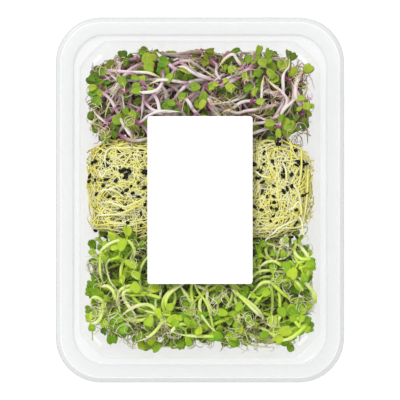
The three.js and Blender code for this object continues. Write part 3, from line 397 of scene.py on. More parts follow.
# The leek's seed coats that show on top: where each lies and its direction in degrees
LEEK_COATS = [
    (-50, 25, 135), (-47, 25.4, 20), (-46, 27.3, 160), (-53.8, 18.3, 80), (-52.3, 19.2, 0),
    (-47.3, 17.8, 160), (-45.5, 17.2, 20), (-55, 11.8, 60), (-55.3, 9.3, 30), (-52.2, 10, 90),
    (-46.6, 10.4, 0), (-48.2, 7.2, 30), (-41.8, 9.5, 20), (-40.2, 24, 120), (-33.7, 23.4, 45),
    (-29.5, 24.2, 20), (-28.9, 22.3, 110), (-38, 15, 0), (-35.3, 14.5, 140), (-36.7, 12.3, 60),
    (-37.2, 10.8, 0), (-38.8, 3.4, 40), (-36.6, 4.9, 40), (-34.3, 6.6, 50), (-27.7, 6.3, 20),
    (-27, 13.7, 90), (-30.7, 1.5, 0), (-33.5, 3.4, 20), (-43, 0.7, 10), (-45.3, 1.7, 30), (-51.3, 3, 40),
    (-39.2, -4.7, 10), (-37, -2.5, 90), (-29.2, -6.6, 120), (-39, -10.7, 135), (-35.6, -11.1, 10),
    (-27.3, -10.5, 0), (-29.2, -13, 60), (-27.3, -2.3, 60), (-52.3, -15.3, 160), (-47.5, -18.4, 140),
    (-38.8, -15.9, 90), (-33, -17.6, 20), (-31, -18.9, 150), (-30, -15.2, 0), (-26.8, -15.7, 80),
    (-46, 20.6, 0), (-30.5, 8.5, 40), (-28, 14, 70), (32.8, 26, 20), (32.3, 24.2, 90), (36.2, 19.2, 120),
    (41.7, 18.3, 105), (47.3, 24.9, 150), (48.5, 19.3, 150), (48, 17.3, 150), (51, 19.5, 140),
    (53, 17.8, 15), (51, 16.7, 80), (51.1, 14, 0), (41.8, 14.5, 70), (40.8, 12.3, 130), (42, 11.7, 60),
    (45.6, 12.6, 60), (28.6, 11, 170), (28.6, 14.5, 40), (30.2, 14.2, 100), (31.8, 17.8, 50),
    (26.7, 17.6, 0), (36.7, 7.2, 160), (45.8, 6.8, 80), (43.3, 5.6, 110), (41.6, 4.2, 130),
    (51.3, 2.3, 20), (53.2, 3.2, 50), (36.6, 1.6, 150), (33.4, 1.5, 80), (31, 4, 70), (36.6, -1.5, 20),
    (35.4, -3.9, 140), (38, -4.4, 0), (48, -4.8, 10), (36.6, -8, 30), (35.3, -10.4, 135), (38, -10.8, 0),
    (48, -11.2, 0), (46, -13.2, 160), (47.6, -14.4, 120), (42, -16, 150), (38.8, -17.6, 140),
    (45.8, -18.6, 20), (48.3, -18.6, 135), (28.2, -18.2, 20), (27.6, -16.5, 120), (32.5, -17.5, 40),
    (26.9, -3.2, 0), (30.6, -5, 0), (30.5, -11.6, 20), (26.9, -9.6, 0), (31, 9, 30),
]

# Beds
# core and cover are how high a bed's mound and its sprouts reach, heart how far inside its dense middle
# starts, shoulder how much lower its edges are, and wave how far its sprouts rise and fall. lit is the
# heights between which the painted shade on its sprouts fades out upwards, and shades the dark and the
# pale painted shade of its dense middle
BED_HALF_WIDTH = 55.2
BED_END = 74.9
BED_BASE = FLOOR_TOP + 0.3
SEAM_GAP = 0.5
CORNER_REACH = 120.5  # where x + y reaches the cut corners
SHOULDER = 3.5
BUMP = 1.1
CORE_MARGIN = 0.2
REACH_UNDER = 0.7  # how far beside a sprout the pile under it counts
REACH_RAISED = 0.4  # how far beside a sprout it raises the pile
CEILING = TRAY_HEIGHT - 0.8
TOP_LAYER = 4  # how much of a bed's cover is the sprouts that lie on its fill
NEAR_TOP = 7  # how deep the upper woven sprouts lie
LIMP = 0.09  # droop of the sprouts that are laid on the fill
UNDER_SHARE = 0.72  # how many of the single leaves lie under the main sprouts
EDGE_MARGIN = 7
FRINGE = 170  # curling roots round a bed's edge
ROUND = 4  # power that rounds the corners of a bed's outline
SPILL = 4
WOVEN_END = -72  # how far the woven sprouts reach at the green radish end
WOVEN_HALF_WIDTH = 57.2
SEAM_LOW, SEAM_HIGH = RIDGE_PLACES
HEART_POINTS = (45, 23)
HEART_BUMP = 0.7
HEART_ROUND = 0.14  # how much its corners are drawn in
HEART_EDGE = 0.12  # how wide its rounded edge is, from its middle (1) to its rim (0)
SIDES_LIT, ENDS_LIT, FLOOR_LIT = (46, 57), (64, 74), (7, 2)  # where light comes in, from none to full
RADISH_BED = SimpleNamespace(grains=0, coats=[], shoulder=4, wave=(0.5, 2.5), heart=6)
BEDS = {
    "red_radish": changed(
        RADISH_BED, kind=RED_RADISH, woven=WOVEN_RED, ends=(SEAM_HIGH + SEAM_GAP, BED_END), core=20, cover=26,
        fused=6, seed=1101, routes=RED_ROUTES, stems=RED_STEMS, tops=RED_LEAVES, curls=RED_CURLS,
        lit=(16, 26), shades=(0.2, 0.7),
    ),
    "leek": SimpleNamespace(
        kind=LEEK, woven=WOVEN_LEEK, ends=(SEAM_LOW + SEAM_GAP, SEAM_HIGH - SEAM_GAP), core=26, cover=31,
        fused=9, seed=2203, routes=None, stems=LEEK_STEMS, tops=[], curls=[], loose=14, grains=16,
        coats=LEEK_COATS, shoulder=5, wave=(0.3, 1.5), heart=2.6, lit=(20, 29), shades=(0.5, 0.9),
    ),
    "green_radish": changed(
        RADISH_BED, kind=GREEN_RADISH, woven=WOVEN_GREEN, ends=(-BED_END, SEAM_LOW - SEAM_GAP), core=23,
        cover=29, fused=5, seed=3307, routes=GREEN_ROUTES, stems=GREEN_STEMS, tops=GREEN_LEAVES,
        curls=GREEN_CURLS, lit=(19, 29), shades=(0.3, 1),
    ),
}

# One half of a seed leaf's outline, and the places on it that rest on what is under it
STALK_HALF = 0.5
LEAF_OUTLINE = [(0.48, 0.36), (0.76, 0.5), (0.99, 0.26)]
STALK_SHARE = 0.27
NOTCH_SHARE = 0.88
LEAF_CUP = 0.7
LEAF_REACH = 0.9  # how far beside those places the pile counts


# Random numbers that come out the same each time
class Draws:
    def __init__(self, seed):
        self.state = seed

    def one(self):
        self.state = (self.state * 1664525 + 1013904223) % 2**32
        return self.state / 2**32

    def between(self, ends):
        low, high = ends
        return low + (high - low) * self.one()

    def sign(self):
        return -1 if self.one() < 0.5 else 1


# The heap that sprouts are laid on: how high it reaches, on a grid of 1 mm cells seen from above
REACH = np.array([60, 80])
CELLS_X, CELLS_Y = 2 * REACH
WINDOW_X, WINDOW_Y = (w.ravel() for w in np.meshgrid(np.arange(-3, 4), np.arange(-3, 4)))
GRID_X, GRID_Y = np.meshgrid(np.arange(CELLS_X) + 0.5 - REACH[0], np.arange(CELLS_Y) + 0.5 - REACH[1])


def middle_of(bed):
    return (bed.ends[0] + bed.ends[1]) / 2


def half_of(bed):
    return (bed.ends[1] - bed.ends[0]) / 2


def near_edge(bed, x, y):
    """Near 0 in the middle of a bed, 1 at its sides and ends."""
    return (x / BED_HALF_WIDTH) ** 6 + ((y - middle_of(bed)) / half_of(bed)) ** 6


def core_top(bed, x, y):
    """How high the mound in the frame's bed reaches."""
    bumps = np.sin(0.17 * x + bed.seed) * np.cos(0.21 * y + bed.seed)
    return bed.core - SHOULDER * near_edge(bed, x, y) + BUMP * bumps


def cover_top(bed, x, y):
    """How high a bed's sprouts reach, lower at the bed's edges."""
    return bed.cover - bed.shoulder * np.minimum(near_edge(bed, x, y), 1.4)


def inside_bed(bed, x, y):
    corner = np.abs(x) + np.abs(y) > CORNER_REACH
    outside = (np.abs(x) > BED_HALF_WIDTH) | (y < bed.ends[0]) | (y > bed.ends[1])
    return ~corner & ~outside


class Pile:
    def __init__(self, height):
        self.height = height
        self.roof = np.full(height.shape, float(CEILING))

    def cells(self, places, radius):
        i = np.floor(places[:, 0] + REACH[0]).astype(int)[:, None] + WINDOW_X
        j = np.floor(places[:, 1] + REACH[1]).astype(int)[:, None] + WINDOW_Y
        dx = i + 0.5 - REACH[0] - places[:, :1]
        dy = j + 0.5 - REACH[1] - places[:, 1:2]
        near = dx**2 + dy**2 <= np.broadcast_to(radius, len(places))[:, None] ** 2
        near &= (i >= 0) & (i < CELLS_X) & (j >= 0) & (j < CELLS_Y)
        return j.clip(0, CELLS_Y - 1), i.clip(0, CELLS_X - 1), near

    def under(self, places, radius):
        j, i, near = self.cells(places, radius + REACH_UNDER)
        return np.where(near, self.height[j, i], BED_BASE).max(axis=1)

    def lift(self, places, radius, z):
        j, i, near = self.cells(places, radius + REACH_RAISED)
        level = np.broadcast_to(z[:, None], near.shape)
        np.maximum.at(self.height, (j[near], i[near]), level[near])

    def room_under(self, places, radius):
        """How high places may go before they touch what lies over them."""
        j, i, near = self.cells(places, radius + REACH_UNDER)
        return (np.where(near, self.roof[j, i], CEILING).min(axis=1) - places[:, 2]).min()

    def hang(self, places, radius, z):
        j, i, near = self.cells(places, radius + REACH_RAISED)
        level = np.broadcast_to(z[:, None], near.shape)
        np.minimum.at(self.roof, (j[near], i[near]), level[near])


def core_pile(bed):
    top = core_top(bed, GRID_X, GRID_Y) + CORE_MARGIN
    return Pile(np.where(inside_bed(bed, GRID_X, GRID_Y), top, BED_BASE))


def room_at(places):
    """How far inside the tray's walls places are, with the buttresses."""
    x, y, z = np.abs(places[:, 0]), places[:, 1], places[:, 2]
    inset = wall_inset(np.minimum(z, WALL_TOP))
    hx, hy = TRAY_WIDTH / 2 - inset, TRAY_LENGTH / 2 - inset
    nearest = np.min([np.abs(y - place) for place in RIDGE_PLACES], axis=0)
    depth = np.where(z < WALL_MIDDLE, BUTTRESS_DEPTHS[1], BUTTRESS_DEPTHS[0])
    buttress = depth * np.maximum(0, 1 - nearest / RIDGE_HALF)
    corner = (hx + hy - WALL_CORNER - x - np.abs(y)) / math.sqrt(2)
    return np.min([hx - buttress - x, hy - np.abs(y), corner], axis=0)


# Where a sprout lies
def line_at(knees, places):
    """Places on a Catmull-Rom line through the knees, counted in knees from its start."""
    ends = np.concatenate([[2 * knees[0] - knees[1]], knees, [2 * knees[-1] - knees[-2]]])
    first = np.minimum(places.astype(int), len(knees) - 2)
    t = (places - first)[:, None]
    a, b, c, d = (ends[first + i] for i in range(4))
    return (2 * b + (c - a) * t + (2 * a - 5 * b + 4 * c - d) * t**2 + (3 * b - a - 3 * c + d) * t**3) / 2


def held(value, limit):
    """Keeps places within limit of the middle, bending smoothly along the edge."""
    free = FREE_SHARE * limit
    past = np.abs(value) - free
    bent = np.sign(value) * (limit - (limit - free) * np.exp(-past / (limit - free)))
    return np.where(past <= 0, value, bent)


def pressed(points):
    """Keeps points between the tray's floor and the film."""
    low, high = FLOOR_TOP + FLOOR_MARGIN, TRAY_HEIGHT - FILM_MARGIN
    middle = (low + high) / 2
    return np.column_stack([points[:, :2], middle + held(points[:, 2] - middle, high - middle)])


def walk_of(step, headings):
    """A line seen from above that takes one step in each direction, round its own middle."""
    walk = np.zeros((len(headings) + 1, 3))
    walk[1:, 0] = np.cumsum(step * np.cos(headings))
    walk[1:, 1] = np.cumsum(step * np.sin(headings))
    return walk - walk.mean(axis=0)


def wandering_line(draws, bed, kind):
    """A sprout's wandering line seen from above, and where in the bed its middle lies."""
    step = draws.between(kind.length) / (KNEES - 1)
    bend = draws.between(kind.turn) * draws.sign()
    start = 2 * math.pi * draws.one()
    turns = [bend + kind.wander * (draws.one() - 0.5) for _ in range(KNEES - 1)]
    across, along = HOME_REACH
    home = BED_HALF_WIDTH * draws.between(across), half_of(bed) * draws.between(along)
    return walk_of(step, start + np.cumsum(turns)), home


def heading_of(knees):
    """The direction in which a sprout's crown points, seen from above."""
    ahead = knees[-1] - knees[-2]
    return math.atan2(ahead[1], ahead[0])


def sprout_plan(draws, bed, kind):
    """A sprout's line in the bed, bent where it would leave it."""
    knees, home = wandering_line(draws, bed, kind)
    knees[:, 0] = held(knees[:, 0] + home[0], BED_HALF_WIDTH)
    knees[:, 1] = middle_of(bed) + held(knees[:, 1] + home[1], half_of(bed) - 1)
    past = np.maximum(0, np.abs(knees[:, 0]) + np.abs(knees[:, 1]) - CORNER_REACH) / 2
    knees[:, :2] -= np.sign(knees[:, :2]) * past[:, None]
    return knees


SAMPLES = (KNEES - 1) * FINE_STEPS + 1
SAMPLE_SHARE = np.arange(SAMPLES) / FINE_STEPS
SAMPLE_KNEE = np.minimum(SAMPLE_SHARE.astype(int), KNEES - 2)


def samples_of(knees):
    """Samples on the straight pieces between a line's knees."""
    part = (SAMPLE_SHARE - SAMPLE_KNEE)[:, None]
    return knees[SAMPLE_KNEE] * (1 - part) + knees[SAMPLE_KNEE + 1] * part


def radius_at(kind, stem, share):
    """Radius at a share of the way from root tip to crown."""
    tip, neck = kind.root_radius
    root = tip + (neck - tip) * share / kind.root_share
    thick = neck + (stem - neck) * np.minimum(1, (share - kind.root_share) / kind.neck_share)
    return np.where(share < kind.root_share, root, thick)


def leaf_frame(draws, shape, azimuth):
    rise = draws.between(shape.rise)
    roll = shape.roll * (2 * draws.one() - 1)
    level = np.array([-math.sin(azimuth), math.cos(azimuth), 0])
    ahead = np.array([math.cos(azimuth), math.sin(azimuth), 0])
    along = ahead * math.cos(rise) + np.array([0, 0, math.sin(rise)])
    upright = np.cross(along, level)
    return SimpleNamespace(
        along=along,
        across=level * math.cos(roll) + upright * math.sin(roll),
        up=upright * math.cos(roll) - level * math.sin(roll),
        length=draws.between(shape.length),
        width=draws.between(shape.width),
    )


def leaf_cover(leaf):
    """Places that cover a leaf closely, from its stalk's end."""

    def side(sign):
        blade = [(share, sign * width * leaf.width, LEAF_CUP) for share, width in LEAF_OUTLINE]
        return [(-0.06, sign * STALK_HALF, 0), (STALK_SHARE, sign * STALK_HALF, 0), *blade]

    rows = [
        (share, place * leaf.width, LEAF_CUP * abs(place) / 0.5)
        for share in (0.4, 0.58, 0.76, 0.92)
        for place in (-0.24, 0, 0.24)
    ]
    tip = (NOTCH_SHARE, 0, LEAF_CUP / 2)
    places = np.array([*side(1), tip, *reversed(side(-1)), *rows, (0.14, 0, 0)])
    along = places[:, :1] * leaf.length * leaf.along
    return along + places[:, 1:2] * leaf.across + places[:, 2:] * leaf.up


def leaf_pair(draws, kind, knees):
    """A sprout's two leaves, which part from where its crown points."""
    if not kind.leaves:
        return []
    turns = [side * draws.between(kind.leaves.spread) for side in (1, -1)]
    return [leaf_frame(draws, kind.leaves, heading_of(knees) + turn) for turn in turns]


def route_plan(draws, kind, route):
    """A sprout's line and leaves as a route gives them."""
    places, *headings, _ = route
    flat = np.array([(x, y, 0) for x, y in places], float)
    knees = line_at(flat, np.linspace(0, len(flat) - 1, KNEES))
    return knees, [leaf_frame(draws, kind.leaves, math.radians(heading)) for heading in headings]


def sprout_of(kind, knees, stem, heading, leaves, places, **more):
    """A sprout. Its tone and its leaves' age are drawn later where they aren't given."""
    own = {"tone": None, "age": None, "crown": knees[-1], "places": places, **more}
    return SimpleNamespace(kind=kind, knees=knees, stem=stem, heading=heading, leaves=leaves, **own)


def lie_of(draws, pile, bed, kind, rise, route=None):
    """One sprout as it would lie on the pile, along its route or else at a random place."""
    if route:
        knees, leaves = route_plan(draws, kind, route)
    else:
        knees = sprout_plan(draws, bed, kind)
        leaves = leaf_pair(draws, kind, knees)
    step = np.linalg.norm(np.diff(knees, axis=0), axis=1).mean()
    stem = draws.between(kind.stem_radius)
    samples = samples_of(knees)
    radius = radius_at(kind, stem, np.arange(SAMPLES) / (SAMPLES - 1))
    support = pile.under(samples, radius) + radius + rise
    crown = knees[-1]
    cover = np.concatenate([leaf_cover(leaf) for leaf in leaves]) if leaves else np.zeros((0, 3))
    lift = BLADE_THICK / 2 + CLEAR
    floors = pile.under(cover + crown, LEAF_REACH) + lift - cover[:, 2]
    if kind.grain:
        grain_floor = pile.under(crown[None], kind.grain.length / 2) + kind.grain.width / 2 + rise
        floors = np.append(floors, grain_floor)
    support[-1] = max(support[-1], floors.max(initial=0))
    steps = np.arange(KNEES)[:, None] - SAMPLE_SHARE
    knees[:, 2] = (support - kind.droop * (step * steps) ** 2).max(axis=1)
    short = np.maximum(0, support - samples_of(knees)[:, 2])
    for i in range(KNEES):
        knees[i, 2] += short[max(0, (i - 1) * FINE_STEPS) : (i + 1) * FINE_STEPS + 1].max()
    places = [samples_of(knees), cover + crown]
    radii = [radius, np.full(len(cover), BLADE_THICK / 2)]
    spreads = [radius, np.full(len(cover), LEAF_REACH)]
    if kind.grain:
        places.append(crown[None])
        radii.append(np.array([kind.grain.width / 2]))
        spreads.append(np.array([kind.grain.length / 2]))
    places, radii, spreads = (np.concatenate(parts) for parts in (places, radii, spreads))
    fits = (np.abs(places[:, 1] - middle_of(bed)) + radii).max() < half_of(bed)
    return sprout_of(
        kind, knees, stem, heading_of(knees), leaves, places,
        tone=route[-1] if route else None,
        radii=radii,
        spreads=spreads,
        top=(places[:, 2] + radii).max(),
        fits=fits and (room_at(places) - radii).min() > WALL_GAP,
    )


def raise_pile(pile, sprout):
    """Raises the pile by a sprout that lies on it."""
    pile.lift(sprout.places, sprout.spreads, sprout.places[:, 2] + sprout.radii)


def lay_sprouts(draws, pile, bed, count, rise):
    """Lays sprouts on the pile, each at the lowest of a few random places."""
    laid = []
    for _ in range(count):
        tried = [lie_of(draws, pile, bed, bed.kind, rise) for _ in range(CHOICES)]
        usable = [sprout for sprout in tried if sprout.fits and sprout.top < CEILING]
        if usable:
            laid.append(min(usable, key=lambda sprout: sprout.top))
            raise_pile(pile, laid[-1])
    return laid


def lay_routes(draws, pile, bed, kind, routes, rise):
    """Lays sprouts on the pile along their routes, one after another."""
    laid = []
    for route in routes:
        laid.append(lie_of(draws, pile, bed, kind, rise, route))
        raise_pile(pile, laid[-1])
    return laid


def cover_pile(bed):
    """The fill of a bed, as the pile under the sprouts that lie on top."""
    top = cover_top(bed, GRID_X, GRID_Y) - TOP_LAYER
    return Pile(np.where(inside_bed(bed, GRID_X, GRID_Y), top, bed.cover - 2.5 * TOP_LAYER))


# Sprouts on top. reach is how far beside a leaf the pile counts, gap the room under it and rise how much it
# raises the pile. length and width are beside the length that its place gives, and parting the angle between
# its two leaves. The stem's run, sway and drop follow it back from the crown. rest is how many in a hundred
# of a leaf's places clear the pile, and under_film how far below the ceiling the crown stays
ON_TOP = SimpleNamespace(
    reach=0.2, gap=0.4, rise=0.35, length=(0.95, 1.1), width=(0.66, 0.98), parting=(1, 2.3), run=(12, 22),
    sway=(-4, 4), drop=(7, 13), rest=75, under_film=1.5,
)


def topped_sprout(draws, pile, bed, kind, leaf_place, under):
    """A sprout that rises out of the fill, with the blade of one leaf where leaf_place has it, under the main
    sprouts or on top of all."""
    x, y, degrees, length, age = leaf_place
    azimuth = math.radians(degrees)
    leaves = [leaf_frame(draws, kind.leaves, azimuth)]
    leaves.append(leaf_frame(draws, kind.leaves, azimuth + draws.sign() * draws.between(ON_TOP.parting)))
    for leaf in leaves:
        leaf.length = length * draws.between(ON_TOP.length) / (1 - STALK_SHARE)
        leaf.width = length * draws.between(ON_TOP.width)
    crown = np.array([x, y, 0]) - (1 + STALK_SHARE) / 2 * leaves[0].length * leaves[0].along
    cover = [leaf_cover(leaf) for leaf in leaves]
    spots = np.concatenate(cover)[:, :2] + crown[:2]
    room = np.array([TRAY_WIDTH, TRAY_LENGTH]) / 2 - wall_inset(WALL_MIDDLE) - 0.3
    crown[:2] -= np.maximum(0, spots.max(axis=0) - room) + np.minimum(0, spots.min(axis=0) + room)
    floors = [pile.under(places + crown, ON_TOP.reach) + ON_TOP.gap - places[:, 2] for places in cover]
    rest = max(np.percentile(floor, ON_TOP.rest) for floor in floors)
    crown[2] = min(rest, CEILING - ON_TOP.under_film)
    room = min(pile.room_under(places + crown * [1, 1, 0], ON_TOP.reach) for places in cover) - ON_TOP.gap
    if under and room > core_top(bed, crown[0], crown[1]):
        crown[2] = min(crown[2], room)
    heading = azimuth + draws.between((-1, 1))
    run = draws.between(ON_TOP.run)
    back = np.linspace(1, 0, KNEES)[:, None]
    sway = draws.between(ON_TOP.sway) * np.sin(2.6 * back)
    ahead = np.array([math.cos(heading), math.sin(heading), 0])
    knees = crown - run * back * ahead + sway * np.array([-ahead[1], ahead[0], 0])
    knees[:, 2] = crown[2] - draws.between(ON_TOP.drop) * back[:, 0] ** 0.7
    knees[:-1, 0] = np.clip(knees[:-1, 0], -BED_HALF_WIDTH + 1, BED_HALF_WIDTH - 1)
    knees[:-1, 1] = np.clip(knees[:-1, 1], bed.ends[0] + 1, bed.ends[1] - 1)
    for places in cover:
        spots = places + crown
        pile.lift(spots, np.full(len(spots), ON_TOP.reach), spots[:, 2] + ON_TOP.rise)
    stem = draws.between(kind.stem_radius)
    places = np.concatenate([samples_of(knees), *(places + crown for places in cover)])
    return sprout_of(kind, knees, stem, heading, leaves, places, age=age)


def strewn_grains(draws, pile, bed, grain, count):
    """Seed coats that lie loose in the bed, each sunk a little into what is under it."""
    across, along = STREWN_REACH
    grains = []
    for _ in range(count):
        x = BED_HALF_WIDTH * draws.between(across)
        y = middle_of(bed) + half_of(bed) * draws.between(along)
        heading = math.pi * draws.one()
        place = np.array([[x, y, 0.0]])
        place[0, 2] = pile.under(place, 0.5)[0] + grain.width / 2 - SINK
        pile.lift(place, grain.length / 2, place[:, 2] + grain.width / 2)
        grains.append(SimpleNamespace(crown=place[0], heading=heading))
    return grains


class Crowd:
    """Which cells of a bed's space are taken, so that sprouts woven into it mostly miss each other."""

    CELL = 1.3

    def __init__(self):
        size = 2 * REACH[0], 2 * REACH[1], int(TRAY_HEIGHT) + 4
        self.taken = np.zeros([math.ceil(n / self.CELL) for n in size], int)

    def cells(self, places):
        spots = ((places + [REACH[0], REACH[1], 0]) / self.CELL).astype(int)
        return tuple(np.clip(spots[:, axis], 0, size - 1) for axis, size in enumerate(self.taken.shape))

    def meets(self, places):
        return int(self.taken[self.cells(places)].sum())

    def add(self, places):
        self.taken[self.cells(places)] = 1


WEAVE = SimpleNamespace(beat=(0.4, 1.1), slope=(-2.5, 1.5))  # of a woven sprout's rise and fall


def woven_sprout(draws, bed, kind, depth):
    """One sprout in the bed's space, at most depth under the bed's top, with its line rising and falling, and
    moved back in where it would leave the bed."""
    knees, home = wandering_line(draws, bed, kind)
    knees[:, 0] += home[0]
    knees[:, 1] += middle_of(bed) + home[1]
    for axis, (low, high) in enumerate(((-WOVEN_HALF_WIDTH, WOVEN_HALF_WIDTH), bed.ends)):
        line = knees[:, axis]
        low, high = low + EDGE_MARGIN * draws.one() ** 1.3, high - EDGE_MARGIN * draws.one() ** 1.3
        line += max(0, low - line.min()) - max(0, line.max() - high)
    stem = draws.between(kind.stem_radius)
    height = draws.between(bed.wave)
    phase = 2 * math.pi * draws.one()
    beat = draws.between(WEAVE.beat)
    wave = height * np.sin(phase + beat * np.arange(KNEES))
    slope = draws.between(WEAVE.slope) * np.linspace(1, -1, KNEES)
    top = cover_top(bed, knees[:, 0], knees[:, 1])
    share = draws.one()
    z = top - depth * share + wave + slope
    knees[:, 2] = np.clip(z, BED_BASE + 0.3 + stem, np.minimum(top, CEILING - 0.5) - stem)
    leaves = leaf_pair(draws, kind, knees)
    cover = [leaf_cover(leaf) + knees[-1] for leaf in leaves]
    places = np.concatenate([samples_of(knees), *cover])
    past = np.maximum(bed.ends[0] - knees[:, 1], knees[:, 1] - bed.ends[1]).max()
    fits = (room_at(places) - ROOM_WOVEN).min() > WALL_GAP
    fits = fits and past < 0.1 and outline_share(bed, knees).max() < 1
    fits = fits and places[:, 2].max() < CEILING and places[:, 2].min() > BED_BASE + 0.4
    return sprout_of(kind, knees, stem, heading_of(knees), leaves, places, fits=fits)


def outline_share(bed, places):
    """How near the bed's rounded outline places are: 0 in its middle, 1 on it."""
    a = places[:, 0] / (WOVEN_HALF_WIDTH + 1)
    b = (places[:, 1] - middle_of(bed)) / (half_of(bed) + 1)
    waves = 0.03 * np.sin(0.21 * places[:, 0] + bed.seed) * np.sin(0.33 * places[:, 1])
    return (np.abs(a) ** ROUND + np.abs(b) ** ROUND) ** (1 / ROUND) + waves


def weave(draws, bed, kind, crowd, count, depth, choices):
    """Weaves sprouts into the bed's space, each where it meets the fewest others of a few random places."""
    woven = []
    for _ in range(count):
        tried = [woven_sprout(draws, bed, kind, depth) for _ in range(choices)]
        usable = [sprout for sprout in tried if sprout.fits]
        if usable:
            costs = [crowd.meets(sprout.places) + hidden(bed, sprout.places) for sprout in usable]
            woven.append(usable[int(np.argmin(costs))])
            crowd.add(woven[-1].places)
    return woven


def hidden(bed, places):
    """What places inside the bed's dense heart, out of sight, count against a sprout."""
    x, y, z = places.T
    sides = np.minimum(BED_HALF_WIDTH - np.abs(x), half_of(bed) - np.abs(y - middle_of(bed)))
    inside = (sides > bed.heart) & (z > bed.heart) & (z < cover_top(bed, x, y) - bed.heart)
    return HIDDEN_WEIGHT * int(inside.sum())


# Meshes
class Bundle:
    """Points and faces of one piece, with the numbers that its materials read at each point: share is how far
    along a stem or leaf it is, side how far to the side of a leaf's middle, and tone is drawn for each stem
    or leaf. On the tray, tone holds its painted shade and highlight lines instead."""

    def __init__(self):
        self.points = []
        self.faces = []
        self.finishes = []
        self.marks = {"share": [], "side": [], "tone": []}
        self.count = 0

    def add(self, points, faces, finish, **marks):
        self.join(np.asarray(faces).tolist(), finish, self.count)
        self.points.append(points)
        for name, values in self.marks.items():
            values.append(np.broadcast_to(marks.get(name, 0), len(points)))
        self.count += len(points)

    def join(self, faces, finish, start):
        """Adds faces between points that are numbered from start."""
        self.faces += [[start + i for i in face] for face in faces]
        self.finishes += [finish] * len(faces)

    def piece(self, name, materials, smooth=True):
        mesh = bpy.data.meshes.new(name)
        mesh.from_pydata(np.concatenate(self.points) * MM, [], self.faces)
        mesh.polygons.foreach_set("material_index", self.finishes)
        mesh.polygons.foreach_set("use_smooth", [smooth] * len(self.faces))
        for mark, values in self.marks.items():
            attribute = mesh.attributes.new(mark, "FLOAT", "POINT")
            attribute.data.foreach_set("value", np.concatenate(values).astype(np.float32))
        for material in materials:
            mesh.materials.append(material)
        mesh.update()
        made = bpy.data.objects.new(name, mesh)
        bpy.context.scene.collection.objects.link(made)
        return made


def square_grid(rows, columns):
    """Rows and columns of places from -1 to 1."""
    return np.meshgrid(np.linspace(-1, 1, rows), np.linspace(-1, 1, columns), indexing="ij")


def grid_faces(grid, flip=False):
    """Squares between a grid's points, turned over if flip is set."""
    corners = [grid[:-1, :-1], grid[1:, :-1], grid[1:, 1:], grid[:-1, 1:]]
    faces = np.stack([corner.ravel() for corner in corners], axis=1)
    return faces[:, ::-1] if flip else faces


def two_sided(rows, columns):
    """The numbers of the points of two grids that share their rim, and which points lie inside it. The upper
    grid's points come first, then the lower one's inside the rim."""
    upper = np.arange(rows * columns).reshape(rows, columns)
    inner = np.zeros((rows, columns), bool)
    inner[1:-1, 1:-1] = True
    lower = upper.copy()
    lower[inner] = rows * columns + np.arange(inner.sum())
    return upper, lower, inner


def ring_faces(rings, sides):
    """Squares between rings of points."""
    i, k = np.meshgrid(np.arange(rings - 1), np.arange(sides), indexing="ij")
    a = (i * sides + k).ravel()
    b = (i * sides + (k + 1) % sides).ravel()
    return np.stack([a, b, b + sides, a + sides], axis=1)


def unit(vectors):
    return vectors / np.linalg.norm(vectors, axis=-1, keepdims=True)


def smooth_line(knees, steps):
    return line_at(knees, np.arange((len(knees) - 1) * steps + 1) / steps)


def across_line(tangents):
    """A direction square to each tangent that turns as little as it can."""
    across = np.empty_like(tangents)
    last = np.array([0.03, 0.05, 1.0])
    for i, tangent in enumerate(tangents):
        last = last - tangent * (tangent @ last)
        last = last / math.sqrt(last @ last)
        across[i] = last
    return across


# A tube's rounded end, beside its radius: how far on its last ring is, how wide it is, and how far its tip
END = SimpleNamespace(reach=0.45, width=0.65, cap=0.3)


def add_tube(bundle, line, radii, sides, finish, share, tone):
    """A closed round tube along a line, its ends rounded off. One with few sides is as wide on average as a
    round one."""
    radii = radii * (math.pi / sides) / math.sin(math.pi / sides)
    tangents = unit(np.gradient(line, axis=0))
    first = line[:1] - END.reach * radii[0] * tangents[:1]
    last = line[-1:] + END.reach * radii[-1] * tangents[-1:]
    line = np.concatenate([first, line, last])
    radii = np.concatenate([[END.width * radii[0]], radii, [END.width * radii[-1]]])
    share = np.concatenate([share[:1], share, share[-1:]])
    tangents = np.concatenate([tangents[:1], tangents, tangents[-1:]])
    across = across_line(tangents)
    other = np.cross(tangents, across)
    angles = 2 * math.pi * np.arange(sides) / sides
    ring = np.cos(angles)[None, :, None] * across[:, None] + np.sin(angles)[None, :, None] * other[:, None]
    points = line[:, None] + radii[:, None, None] * ring
    ends = [line[:1] - END.cap * radii[0] * tangents[:1], line[-1:] + END.cap * radii[-1] * tangents[-1:]]
    count = len(line)
    k = np.arange(sides)
    after = (k + 1) % sides
    end = (count - 1) * sides
    foot = [np.full(sides, count * sides), after, k]
    tip = [np.full(sides, count * sides + 1), end + k, end + after]
    points = np.concatenate([points.reshape(-1, 3), *ends])
    shares = np.concatenate([np.repeat(share, sides), share[:1], share[-1:]])
    start = bundle.count
    bundle.add(points, ring_faces(count, sides), finish, share=shares, tone=tone)
    bundle.join(np.concatenate([foot, tip], axis=1).T.tolist(), finish, start)


def add_root(bundle, line, radii, tone):
    """A thin root."""
    add_tube(bundle, line, radii, ROOT_SIDES, STEM, np.full(len(line), ROOT_SHARE), tone)


STEM, LEAF, SEED, HEART = 0, 1, 2, 3  # a bed's materials, by number
ROOT_SIDES = 3
ROOT_SHARE = -0.3  # before a stem's root tip, so that a thin root has the root's colour

